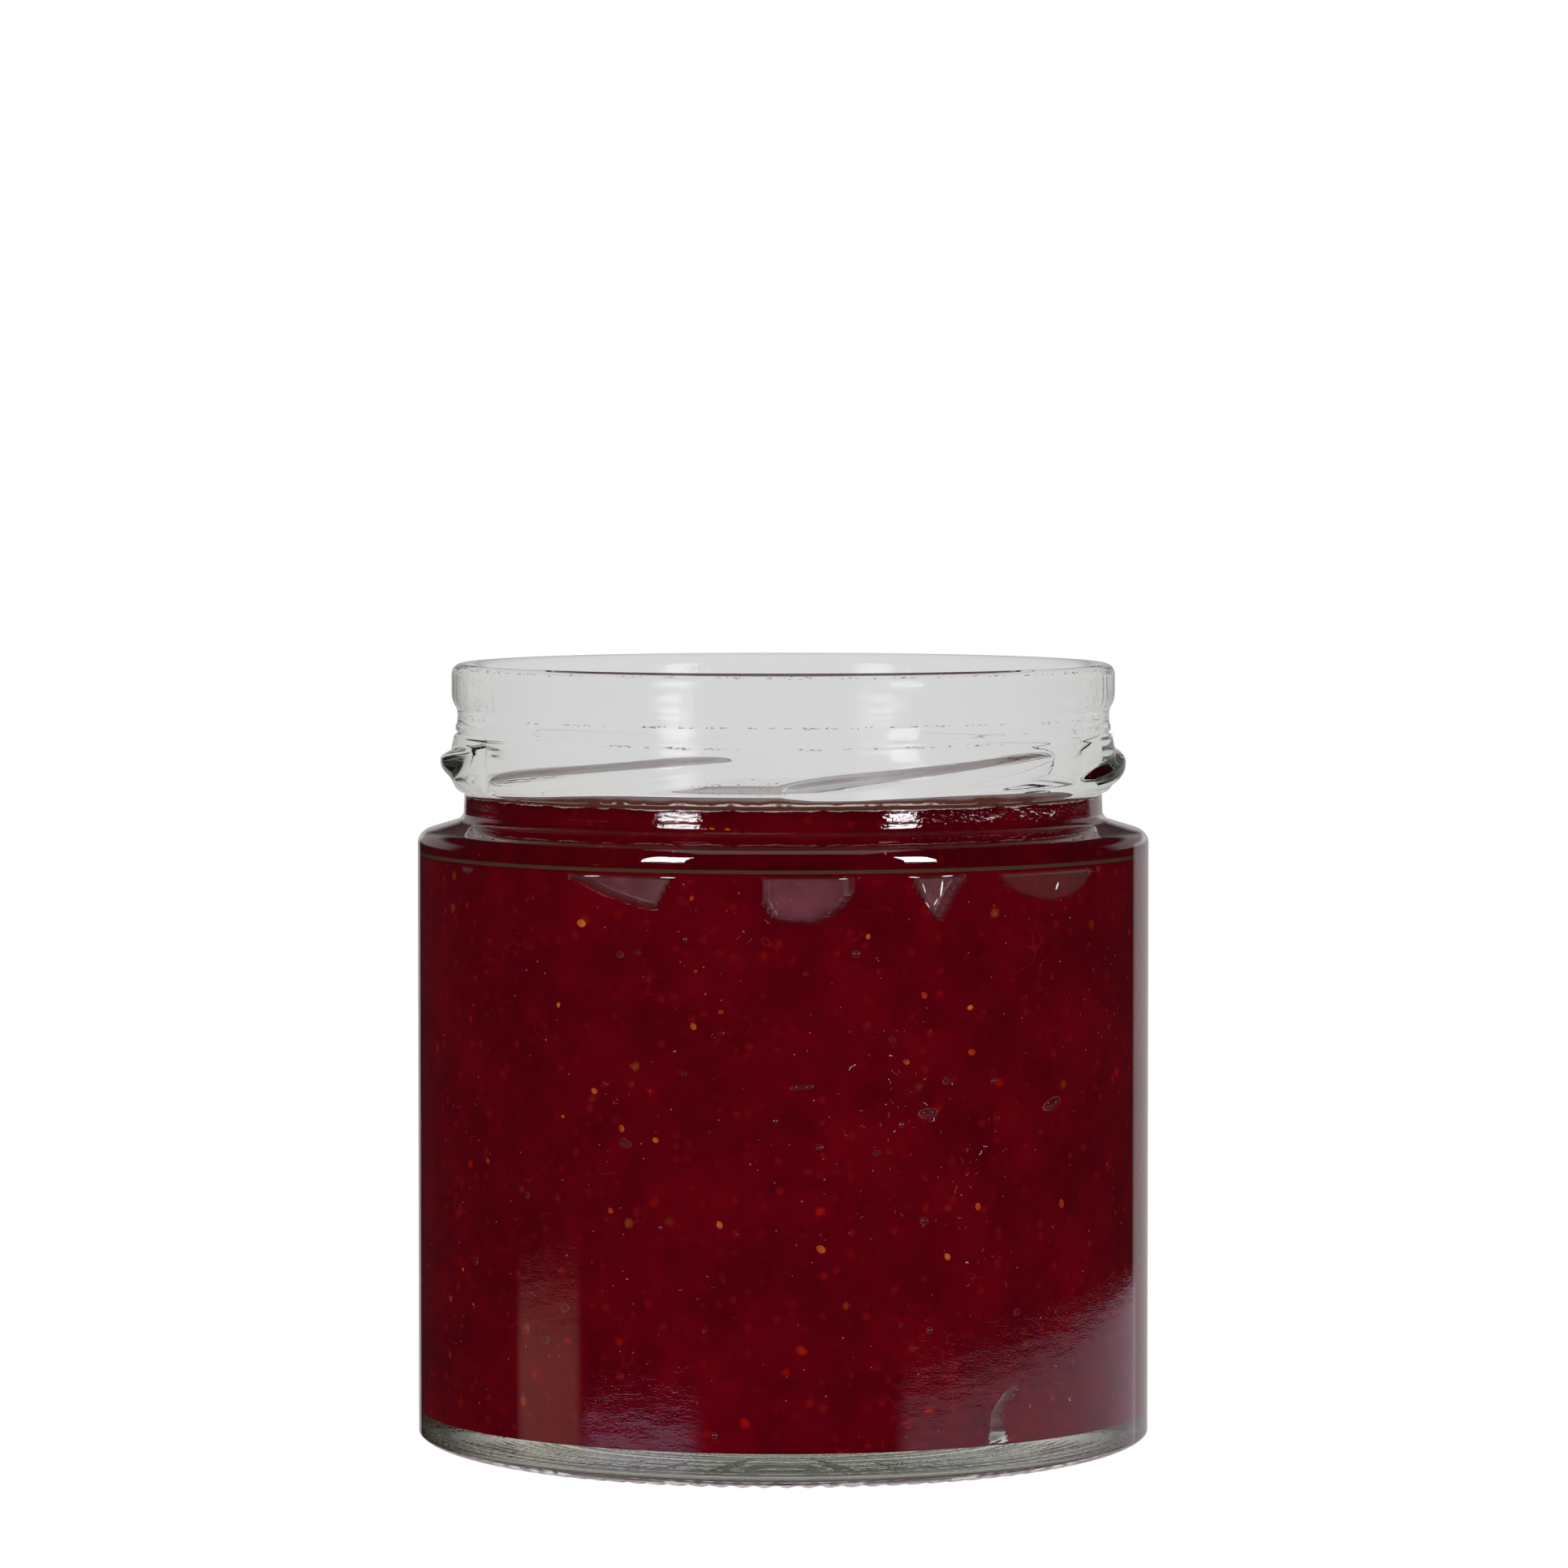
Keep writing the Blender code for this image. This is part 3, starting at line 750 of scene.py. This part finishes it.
class JAMJAR_OT_jam(bpy.types.Operator):
    """Fill the jar with jam up to its level, with air pockets, a channel and a lumpy wet top"""

    bl_idname = "jamjar.jam"
    bl_label = "Add Jam"

    def execute(self, context):
        glass = context.scene.jamjar_glass
        jam = context.scene.jamjar_jam
        fill = spun("berry_jam", jam_profile(glass, jam), JAM_STEPS)
        points = points_of(fill)
        radius = radii_of(points)
        azimuth = azimuths(points)
        on_top = points[:, 2] > jam.level + 0.99 * SMEAR
        above = np.clip(points[:, 2] - jam.level, 0, None)
        points[:, 2] -= above * (1 - smear_share(azimuth))
        points[on_top, 2] = jam_top(radius, azimuth, points[:, 0], points[:, 1], jam)[on_top]
        on_side = (radius > SIDE_RADIUS) & (points[:, 2] < SIDE_TOP)
        back = np.where(on_side, pocket_depth(azimuth, points[:, 2]), 0)
        push_out(points, radius, -back * jam.pocket_depth)
        put_points(fill, points)
        layer = fill.data.attributes.new("air_behind_glass", "FLOAT", "POINT")
        layer.data.foreach_set("value", back.astype(np.float32))
        against_glass, open_to_air, in_pocket = range(3)
        slots = []
        for face in fill.data.polygons:
            corners = list(face.vertices)
            slot = in_pocket if back[corners].max() > 0.02 else against_glass
            slots.append(open_to_air if on_top[corners].all() else slot)
        fill.data.polygons.foreach_set("material_index", slots)
        fill.data.update()
        looks = (jam_wall_material(jam), jam_open_material(jam), jam_pocket_reflection_material(jam))
        finish_piece(fill, "jam", looks, "jam")
        return {"FINISHED"}


# ---------------------------------------------------------------- what floats in the jam

# Seeds that stand out at the front: azimuth in degrees, height in millimetres, size, turn in degrees.
FRONT_SEEDS = (
    (-33.5, 64.1, 1.05, 80),
    (-10.1, 74.4, 0.95, 15),
    (-13.0, 74.6, 0.7, 40),
    (49.8, 31.4, 1.0, 20),
    (5.9, 27.7, 1.0, 60),
    (-14.2, 52.8, 0.8, 30),
    (32.2, 31.9, 0.85, 10),
    (19.6, 48.7, 0.75, 75),
    (-28.2, 31.6, 0.7, 50),
    (-20.4, 39.8, 0.7, 70),
    (31.0, 49.5, 0.9, 85),
    (22.6, 56.2, 0.8, 35),
    (-26.2, 41.0, 0.8, 15),
    (-31.1, 45.1, 0.75, 65),
    (-10.0, 30.4, 0.8, 25),
    (-66.1, 19.3, 0.8, 45),
    (-54.1, 36.1, 0.7, 5),
    (26.7, 26.4, 0.8, 35),
)
# Bubbles that stand out at the front: azimuth, height, width and height in millimetres, turn in degrees.
FRONT_BUBBLES = (
    (2.9, 46.0, 2.74, 0.55, 5),
    (47.4, 43.0, 3.10, 1.37, 18),
    (23.3, 42.8, 2.46, 1.19, 3),
    (11.5, 61.0, 1.00, 0.82, 0),
    (-15.5, 62.6, 0.64, 0.55, 0),
    (23.6, 18.1, 0.82, 0.82, 0),
    (-58.3, 19.2, 0.55, 0.73, 0),
    (-10.8, 6.5, 0.82, 0.73, 0),
    (35.2, 46.1, 0.82, 0.64, 0),
    (-1.2, 42.2, 0.64, 0.55, 0),
    (6.0, 39.2, 0.55, 0.55, 0),
    (18.8, 41.6, 0.73, 0.64, 0),
    (22.7, 30.6, 1.09, 0.91, 0),
    (-19.6, 29.9, 0.46, 0.46, 0),
    (-17.2, 49.9, 0.36, 0.36, 0),
)
# Painted glints on the pockets' wet rims: azimuth, height, width and height in millimetres, turn.
PAINTED_GLINTS = (
    (-18.3, 69.55, 2.2, 0.10, 0),
    (-31.5, 69.5, 2.6, 0.10, 2),
    (20.9, 69.55, 1.6, 0.10, -4),
    (26.6, 69.6, 1.7, 0.12, 2),
    (22.6, 68.3, 0.12, 1.2, 18),
    (25.6, 68.2, 0.24, 1.9, -8),
    (24.6, 66.7, 0.14, 0.9, -30),
    (23.2, 66.4, 0.12, 0.8, 34),
    (48.6, 67.9, 0.28, 1.0, -28),
    (9.4, 69.5, 1.2, 0.08, 0),
)
# Heights in millimetres between which seeds and bubbles are scattered, and pin-pricks.
LOOSE_SPAN = (8, 68)
PINPRICK_SPAN = (6, 72)
SEED_GAP = 3 * MM
MOST_TRIES = 8000
LOOSE_BUBBLES = 70
THREAD_GROUPS = 40
FRONT_GROUPS = 16
WRINKLES = 230


def seeds_at_glass(jam):
    """(azimuth, height, size, turn) of each seed, in degrees and metres: the placed ones, then the rest
    from a seeded draw that keeps them apart and thins them out at the front."""
    placed = [(a, z * MM, s, t) for a, z, s, t in FRONT_SEEDS]
    draw = np.random.default_rng(82)
    degree = math.radians(1) * 40 * MM
    tries = 0
    while len(placed) < len(FRONT_SEEDS) + jam.seeds:
        tries += 1
        if tries > MOST_TRIES:
            raise RuntimeError("no room for that many seeds")
        a = draw.uniform(-180, 180)
        z = draw.uniform(*LOOSE_SPAN) * MM
        near = [abs(around(a, p[0])) * degree < SEED_GAP and abs(z - p[1]) < SEED_GAP for p in placed]
        in_front = abs(a) < 75 and draw.random() < 0.55
        if not (any(near) or in_front):
            placed.append((a, z, draw.uniform(0.35, 0.8), draw.uniform(0, 180)))
    return placed


def jam_side(scene):
    """A function that gives the radius of the jam's side at a height."""
    glass = scene.jamjar_glass
    reach = scene.jamjar_jam.reach
    return lambda z: (NECK_RADIUS if z > NECK_BOTTOM else glass.body_radius) - glass.wall + reach


def glass_side(scene):
    """A function that gives the radius of the finish's outer side at a height."""
    known = sorted((z, r) for r, z in outer_profile(scene.jamjar_glass) if z > 78.7 * MM)
    heights, radii = zip(*known)
    return lambda z: float(np.interp(z, heights, radii))


def ball(segments, rings):
    """A unit ball, as the model of a small piece."""
    deselect()
    bpy.ops.mesh.primitive_uv_sphere_add(segments=segments, ring_count=rings, radius=1, location=(0, 0, 0))
    return bpy.context.object


def scatter(name, model, places, radius_at, sink):
    """Copies a small model to each place on a side, then joins them all into one piece.

    A place is (azimuth, height, (wide, deep, tall), turn), as half sizes. sink moves each one inwards by
    that share of its depth. The attribute towards_glass is 1 where the model faces out, -1 where in."""
    base = points_of(model)
    faces = [tuple(p.vertices) for p in model.data.polygons]
    all_points, all_faces = [], []
    for index, (azimuth, z, size, turn) in enumerate(places):
        c, s = math.cos(math.radians(turn)), math.sin(math.radians(turn))
        wide, deep, tall = (base * np.array(size)).T
        radius = radius_at(z) - sink * size[1]
        reach = radius - deep
        angle = math.radians(azimuth) + (wide * c - tall * s) / radius
        height = z + (wide * s + tall * c)
        all_points.append(np.stack([reach * np.sin(angle), -reach * np.cos(angle), height], 1))
        all_faces += [tuple(i + index * len(base) for i in f) for f in faces]
    mesh = bpy.data.meshes.new(name)
    mesh.from_pydata(np.concatenate(all_points).tolist(), [], all_faces)
    mesh.shade_smooth()
    layer = mesh.attributes.new("towards_glass", "FLOAT", "POINT")
    layer.data.foreach_set("value", np.tile(-base[:, 1], len(places)).astype(np.float32))
    mesh.update()
    obj = bpy.data.objects.new(name, mesh)
    bpy.context.scene.collection.objects.link(obj)
    bpy.data.objects.remove(model)
    return obj


def paint_last(obj, first, copies):
    """Gives the copies from the given one on the second material."""
    faces = len(obj.data.polygons)
    slots = (np.arange(faces) >= first * (faces // copies)).astype(np.int32)
    obj.data.polygons.foreach_set("material_index", slots)


def seed_model():
    """One seed, 2 units long: a ball drawn out to a blunt point at its upper end."""
    model = ball(12, 8)
    points = points_of(model)
    point = np.clip(points[:, 2], 0, 1)
    points[:, :2] *= (0.78 - 0.28 * point**2)[:, None]
    points[:, 2] += 0.15 * point**3
    put_points(model, points)
    return model


def seed_material(jam):
    """A berry seed soaked in jelly: dull, fibrous, yellow ochre that turns red-brown through the jelly."""
    made, tree = new_material("berry_seed_soaked")
    place = add_node(tree, "TexCoord", None, "Object")
    # Tones 4 mm wide, so that whole seeds differ more than the ends of one.
    tone = add_node(tree, "TexNoise", {"Scale": 260.0, "Detail": 1.0, "Vector": place})
    shallow = add_node(tree, "MapRange", {"From Min": 0.44, "From Max": 0.74, "Value": tone})
    tint = painted(tree, jam.seed_dark, (jam.seed, shallow))
    give_surface(tree, {"Roughness": 0.6, "Specular IOR Level": 0.0, "Base Color": tint})
    return made


def bubble_material():
    """The skin of an air bubble in jelly: wet and dark, with a painted reflection as a thin paler ring
    where it curves away.
    """
    made, tree = new_material("air_bubble_in_jelly")
    front = add_node(tree, "Attribute", {"attribute_name": "towards_glass"}, "Fac")
    # Painted reflection: the paler ring where the bubble turns away from the glass.
    tint = painted(tree, "#7C323C", ("#48040E", mask(tree, (front, 0.3, 0.62))))
    give_surface(tree, {"Roughness": 0.05, "IOR": 1.35, "Base Color": tint})
    return made


class JAMJAR_OT_seeds(bpy.types.Operator):
    """Set the berry seeds in the side of the jam"""

    bl_idname = "jamjar.seeds"
    bl_label = "Add Seeds"

    def execute(self, context):
        jam = context.scene.jamjar_jam
        half = jam.seed_length / 2
        places = []
        for a, z, size, turn in seeds_at_glass(jam):
            places.append((a, z, (half * size, 0.45 * half, half * size), turn))
        seeds = scatter("berry_seeds", seed_model(), places, jam_side(context.scene), 0.35)
        finish_piece(seeds, "jam", (seed_material(jam),))
        return {"FINISHED"}


class JAMJAR_OT_bubbles(bpy.types.Operator):
    """Set small air bubbles between the jam and the glass"""

    bl_idname = "jamjar.bubbles"
    bl_label = "Add Bubbles"

    def execute(self, context):
        places = [(a, z * MM, (w * MM / 2, 0.16 * MM, h * MM / 2), t) for a, z, w, h, t in FRONT_BUBBLES]
        draw = np.random.default_rng(7)
        for _ in range(LOOSE_BUBBLES):
            wide = draw.uniform(0.2, 0.55) * MM
            size = (wide, 0.12 * MM, wide * draw.uniform(0.7, 1.0))
            spot = (draw.uniform(-180, 180), draw.uniform(*LOOSE_SPAN) * MM)
            places.append((*spot, size, draw.uniform(-20, 20)))
        bubbles = scatter("air_bubbles", ball(20, 12), places, jam_side(context.scene), 0.0)
        finish_piece(bubbles, "jam", (bubble_material(),))
        return {"FINISHED"}


def pinpricks(draw, count):
    """Tiny bubbles, scattered all round."""
    for _ in range(count):
        wide = draw.uniform(0.05, 0.13) * MM
        spot = (draw.uniform(-180, 180), draw.uniform(*PINPRICK_SPAN) * MM)
        yield (*spot, (wide, 0.04 * MM, wide * draw.uniform(0.6, 1)), 0)


def painted_glints():
    """Painted glints as white specks: those on the pockets' rims, then two on each bubble at the front."""
    yield from ((a, z * MM, (w * MM / 2, 0.04 * MM, h * MM / 2), t) for a, z, w, h, t in PAINTED_GLINTS)
    for azimuth, height, wide, tall, _ in FRONT_BUBBLES:
        for side in (-0.22, 0.2):
            spot = (azimuth + 1.4 * side * wide, (height + 0.1 * tall) * MM)
            yield (*spot, (0.08 * MM, 0.2 * MM, 0.05 * MM), 0)


def add_threads(draw, dull, bright):
    """Adds threads in loose groups to either list of places, each a short crooked chain."""
    for group in range(THREAD_GROUPS):
        middle = draw.uniform(14, 34) if group < FRONT_GROUPS else draw.uniform(-180, 180)
        height = draw.uniform(26, 50) if group < FRONT_GROUPS else draw.uniform(10, 66)
        for _ in range(draw.integers(3, 8)):
            azimuth, z = middle + draw.normal(0, 2.4), height + draw.normal(0, 2.2)
            turn = draw.uniform(0, 360)
            chain, thick = dull, draw.uniform(0.022, 0.042)
            # A fifth of the chains go to the bright list, as white painted glints.
            if draw.random() < 0.2:
                chain, thick = bright, 0.6 * thick
            for _ in range(draw.integers(1, 5)):
                half = draw.uniform(0.06, 0.17)
                chain.append((azimuth, z * MM, (half * MM, 0.03 * MM, thick * MM), turn))
                bend = turn + draw.normal(0, 50)
                for angle in (turn, bend):
                    azimuth += 1.3 * half * math.cos(math.radians(angle))
                    z += 0.9 * half * math.sin(math.radians(angle))
                turn = bend


def add_wrinkles(draw, dull, bright):
    """Adds the wrinkles of the smear on the neck, flat and close together."""
    for i in range(WRINKLES):
        spot = (24 + 44 * draw.beta(1.6, 1.9), (75.9 + draw.normal(0, 0.42)) * MM)
        wide = draw.uniform(0.4, 1.1) if i % 5 == 0 else draw.uniform(0.04, 0.2)
        lengths = (wide * MM, 0.03 * MM, draw.uniform(0.015, 0.045) * MM)
        # Every third wrinkle goes to the bright list, as a white painted glint.
        wrinkles = bright if i % 3 == 0 else dull
        wrinkles.append((*spot, lengths, draw.normal(0, 10 if wide > 0.3 else 26)))


class JAMJAR_OT_threads(bpy.types.Operator):
    """Scatter pin-prick bubbles and short threads of air where the jelly has crept off the glass"""

    bl_idname = "jamjar.threads"
    bl_label = "Add Air Threads"

    def execute(self, context):
        draw = np.random.default_rng(19)
        dull = list(pinpricks(draw, context.scene.jamjar_jam.pinpricks))
        bright = list(painted_glints())
        add_threads(draw, dull, bright)
        add_wrinkles(draw, dull, bright)
        threads = scatter("air_threads", ball(6, 4), dull + bright, jam_side(context.scene), 0.0)
        paint_last(threads, len(dull), len(dull + bright))
        # Trapped air pales the jelly to a dull mauve.
        air = plain_material("air_thread_in_jelly", "#83454F", Roughness=0.4, IOR=1.4)
        # Painted glints: white pieces for the lamps that the wet rims throw back.
        wet = plain_material("air_pocket_rim_painted_glint", "#FFFFFF", Roughness=0.1, IOR=1.6)
        finish_piece(threads, "jam", (air, wet))
        return {"FINISHED"}


# Ragged lines of flash on the finish: azimuths, heights at both ends in millimetres, specks to a degree.
FLASH = (
    (-100, 100, 92.0, 92.0, 1.3),
    (-26, 13, 86.35, 86.3, 2.2),
    (14, 42, 86.4, 86.4, 1.0),
    (-110, -30, 86.3, 86.35, 0.9),
    (50, 110, 86.35, 86.3, 1.2),
    (-32, -4, 84.2, 83.9, 2.0),
    (2, 40, 83.9, 84.2, 1.6),
    (60, 110, 84.1, 84.1, 0.5),
    (-16, 1, 79.5, 79.4, 3.5),
)
WIPING_MARKS = 80


def flash_specks(draw):
    """Specks along each line of flash, in runs with gaps between them."""
    for start, end, low, high, density in FLASH:
        for _ in range(int(density * (end - start))):
            t = draw.random()
            if math.sin(23 * t * (end - start) / 36) + 0.7 * math.sin(61 * t * (end - start) / 36) < -0.5:
                continue
            z = low + (high - low) * t + draw.normal(0, 0.45 if low < 80 else 0.06)
            size = (draw.uniform(0.05, 0.32) * MM, 0.02 * MM, draw.uniform(0.025, 0.07) * MM)
            yield (start + (end - start) * t, z * MM, size, draw.uniform(-12, 12))


def wiping_marks(draw):
    """Hair-fine marks at the front of the finish, all leaning one way."""
    for _ in range(WIPING_MARKS):
        spot = (draw.normal(2.5, 6), draw.normal(85.2, 1.6) * MM)
        size = (draw.uniform(0.3, 1.7) * MM, 0.015 * MM, draw.uniform(0.004, 0.009) * MM)
        if 79.6 * MM < spot[1] < 90 * MM:
            yield (*spot, size, draw.normal(62, 4))


class JAMJAR_OT_flash(bpy.types.Operator):
    """Set the ragged grey specks that the mould's joints leave along the finish, and its wiping marks"""

    bl_idname = "jamjar.flash"
    bl_label = "Add Mould Flash"

    def execute(self, context):
        draw = np.random.default_rng(5)
        specks = list(flash_specks(draw))
        places = specks + list(wiping_marks(draw))
        flash = scatter("mould_flash", ball(6, 4), places, glass_side(context.scene), 0.4)
        paint_last(flash, len(specks), len(places))
        # Flash is torn glass, rough enough to look grey, and a wiped scratch only just shows as paler.
        torn = plain_material("flint_glass_mould_flash_ground_grey", "#8A8C88", Roughness=0.7)
        wiped = plain_material("flint_glass_wiping_marks", "#E6E6E6", Roughness=0.6)
        finish_piece(flash, "glass", (torn, wiped))
        return {"FINISHED"}


# ---------------------------------------------------------------- the stage

LAMP_DISTANCE = 1.1
SOFTBOX_HEIGHT = 0.465
SOFTBOX_TALL = 0.72
SKIRT_HEIGHT = 0.065
SKIRT_POWER = 0.1
FILL_HEIGHT = 0.29
FILL_SHARE = 0.34
OVERHEAD_POWER = 2.5
FRAME_PIXELS = 1932
AIM = (0, 0, 0.05)

# What polished glass reflects besides the lamps: azimuths and elevations in degrees, how much the panel
# climbs from its first azimuth to its last, how soft its sides and its top are, and linear colour.
REFLECTED = (
    (143, 197, -30, 9, 0, 4, 5, (0.50, 0.48, 0.49)),
    (-93, -65, -14, -6.2, 0, 4, 0.7, (0.74, 0.40, 0.32)),
    (-70, -23, -14, -7.4, 0, 11, 0.26, (1.15, 0.90, 1.40)),
    (34, 150, -14, -6.77, 0.95, 7, 0.28, (0.62, 0.54, 0.64)),
    (-180, 180, -90, -24, 0, 1, 6, (0.36, 0.27, 0.28)),
    (122, 176, 3, 22, 0, 14, 6, (0.42, 0.42, 0.42)),
    (-176, -122, 3, 22, 0, 14, 6, (0.42, 0.42, 0.42)),
)
PANEL_FADE = 4


def reflected_room(tree, azimuth, elevation):
    """A nearly black room with a few soft panels, for rays that glass reflects."""
    total = add_node(tree, "RGB")
    total.default_value = (0.012, 0.012, 0.013, 1)
    for az0, az1, el0, el1, climb, soft_az, soft_el, tint in REFLECTED:
        half = (az1 - az0) / 2
        off = add_node(tree, "Math", {"operation": "SUBTRACT", 0: azimuth, 1: (az0 + az1) / 2})
        off = add_node(tree, "Math", {"operation": "WRAP", 0: off, 1: 180.0, 2: -180.0})
        slope = {"operation": "MULTIPLY_ADD", 0: off, 1: -climb / (az1 - az0), 2: elevation}
        level = add_node(tree, "Math", slope)
        off = add_node(tree, "Math", {"operation": "ABSOLUTE", 0: off})
        lower, upper = (level, el0 - PANEL_FADE, el0), (level, el1, el1 - soft_el)
        share = mask(tree, (off, half, half - soft_az), lower, upper)
        glow = {"data_type": "RGBA", "blend_type": "ADD", 0: share, 6: total, 7: (*tint, 1)}
        total = add_node(tree, "Mix", glow, 2)
    return total


def refracted_room(tree, y, elevation):
    """A backdrop behind the jar and a bright table all round, and a dimmer room elsewhere."""
    table = mask(tree, (elevation, -5, -10))
    either = add_node(tree, "Math", {"operation": "MAXIMUM", 0: mask(tree, (y, 0.5, 0.9)), 1: table})
    lit = mask(tree, either, (elevation, 38, 19), (elevation, -62, -20))
    tones = {"data_type": "RGBA", 6: (0.10, 0.115, 0.09, 1), 7: (0.70, 0.70, 0.705, 1)}
    return add_node(tree, "Mix", {**tones, 0: lit}, 2)


def world_light():
    """White behind the jar, a light grey backdrop as glass refracts it, and a dark room in reflections."""
    world = bpy.data.worlds.new("studio")
    bpy.context.scene.world = world
    world.use_nodes = True
    tree = world.node_tree
    tree.nodes.clear()
    path = add_node(tree, "LightPath").node
    way = add_node(tree, "TexCoord", None, "Generated")
    x, y, z = add_node(tree, "SeparateXYZ", {0: way}).node.outputs
    front = add_node(tree, "Math", {"operation": "MULTIPLY", 0: y, 1: -1.0})
    turn = add_node(tree, "Math", {"operation": "ARCTAN2", 0: x, 1: front})
    azimuth = add_node(tree, "Math", {"operation": "DEGREES", 0: turn})
    lift = add_node(tree, "Math", {"operation": "ARCSINE", 0: z})
    elevation = add_node(tree, "Math", {"operation": "DEGREES", 0: lift})
    light = add_node(tree, "Background", {"Color": reflected_room(tree, azimuth, elevation)})
    others = (
        ("Is Diffuse Ray", {"Color": (1, 1, 1, 1), "Strength": 0.3}),
        ("Is Transmission Ray", {"Color": refracted_room(tree, y, elevation)}),
        ("Is Camera Ray", {"Color": (1, 1, 1, 1), "Strength": 1.0}),
    )
    for ray, settings in others:
        seen = add_node(tree, "Background", settings)
        light = add_node(tree, "MixShader", {0: path.outputs[ray], 1: light, 2: seen})
    add_node(tree, "OutputWorld", {"Surface": light})


def floor_material():
    """White card, lit so brightly from behind that no shadow shows on it."""
    made, tree = new_material("white_card")
    glow = add_node(tree, "Emission", {"Color": (1, 1, 1, 1), "Strength": 1.0})
    add_node(tree, "OutputMaterial", {"Surface": glow})
    return made


def lamp_place(azimuth, height):
    """Where a lamp stands, at an azimuth in degrees and a height."""
    a = math.radians(azimuth)
    return (LAMP_DISTANCE * math.sin(a), -LAMP_DISTANCE * math.cos(a), height)


def lamp(name, location, target, size, power, *hidden_from):
    """An area lamp that looks at its target and that the camera doesn't see."""
    data = bpy.data.lights.new(name, "AREA")
    data.shape = "RECTANGLE"
    data.size, data.size_y = size
    data.energy = power
    obj = bpy.data.objects.new(name, data)
    bpy.context.scene.collection.objects.link(obj)
    obj.location = location
    aim = np.array(target) - np.array(location)
    flat = math.hypot(aim[0], aim[1])
    obj.rotation_euler = (math.pi / 2 + math.atan2(aim[2], flat), 0, math.atan2(-aim[0], aim[1]))
    for ray in ("camera", *hidden_from):
        setattr(obj, "visible_" + ray, False)


def add_lamps(power):
    """To each side a tall softbox and a low skirt that show only in gloss, and a fill that only dull
    surfaces take. One more lamp hangs overhead."""
    for side, azimuth, wide in (("left", -37, 0.27), ("right", 42.5, 0.2)):
        box, skirt = (lamp_place(azimuth, z) for z in (SOFTBOX_HEIGHT, SKIRT_HEIGHT))
        shine = ("diffuse", "transmission")
        lamp("softbox_" + side, box, (0, 0, SOFTBOX_HEIGHT), (wide, SOFTBOX_TALL), power, *shine)
        lamp("skirt_" + side, skirt, (0, 0, SKIRT_HEIGHT), (wide, 0.07), SKIRT_POWER, *shine)
        fill = lamp_place(azimuth, FILL_HEIGHT)
        lamp("fill_" + side, fill, AIM, (0.5, 0.7), FILL_SHARE * power, "glossy", "transmission")
    lamp("overhead", (0, -0.1, 1.3), AIM, (0.9, 0.9), OVERHEAD_POWER, "transmission")


def add_camera(scene, stage):
    data = bpy.data.cameras.new("camera")
    data.lens = stage.lens
    data.sensor_width = 36
    data.shift_x = 1 / FRAME_PIXELS
    data.clip_start = 0.01
    camera = bpy.data.objects.new("camera", data)
    scene.collection.objects.link(camera)
    camera.location = (0, -stage.distance, stage.camera_height)
    camera.rotation_euler = (math.pi / 2 - stage.tilt, 0, 0)
    scene.camera = camera


class JAMJAR_OT_stage(bpy.types.Operator):
    """Set the white floor, the soft lights and the camera"""

    bl_idname = "jamjar.stage"
    bl_label = "Set the Stage"

    def execute(self, context):
        stage = context.scene.jamjar_stage
        deselect()
        bpy.ops.mesh.primitive_circle_add(vertices=96, radius=4, fill_type="NGON", location=(0, 0, -0.0001))
        floor = context.object
        floor.name = "floor"
        floor.data.materials.append(floor_material())
        floor.visible_glossy = False
        floor.visible_transmission = False
        world_light()
        add_lamps(stage.key_power)
        add_camera(context.scene, stage)
        context.scene.view_settings.view_transform = "Standard"
        return {"FINISHED"}


# ---------------------------------------------------------------- the panel


class JAMJAR_PT_panel(bpy.types.Panel):
    """Sizes, colours and steps of the jam jar"""

    bl_idname = "JAMJAR_PT_panel"
    bl_label = "Jam Jar"
    bl_space_type = "VIEW_3D"
    bl_region_type = "UI"
    bl_category = "Jam Jar"

    def draw(self, context):
        for group in (context.scene.jamjar_glass, context.scene.jamjar_jam, context.scene.jamjar_stage):
            box = self.layout.box()
            for name in group.__annotations__:
                box.prop(group, name)
        for step in OPERATORS:
            self.layout.operator(step.bl_idname)


OPERATORS = (
    JAMJAR_OT_glass,
    JAMJAR_OT_jam,
    JAMJAR_OT_seeds,
    JAMJAR_OT_bubbles,
    JAMJAR_OT_threads,
    JAMJAR_OT_flash,
    JAMJAR_OT_stage,
)
GROUPS = {"jamjar_glass": GlassSettings, "jamjar_jam": JamSettings, "jamjar_stage": StageSettings}
CLASSES = (*GROUPS.values(), *OPERATORS, JAMJAR_PT_panel)


def register():
    for cls in CLASSES:
        bpy.utils.register_class(cls)
    for name, group in GROUPS.items():
        setattr(bpy.types.Scene, name, PointerProperty(type=group))


def unregister():
    for name in GROUPS:
        delattr(bpy.types.Scene, name)
    for cls in reversed(CLASSES):
        bpy.utils.unregister_class(cls)


def main():
    register()
    bpy.ops.jamjar.glass()
    bpy.ops.jamjar.jam()
    bpy.ops.jamjar.seeds()
    bpy.ops.jamjar.bubbles()
    bpy.ops.jamjar.threads()
    bpy.ops.jamjar.flash()
    bpy.ops.jamjar.stage()


if __name__ == "__main__":
    main()
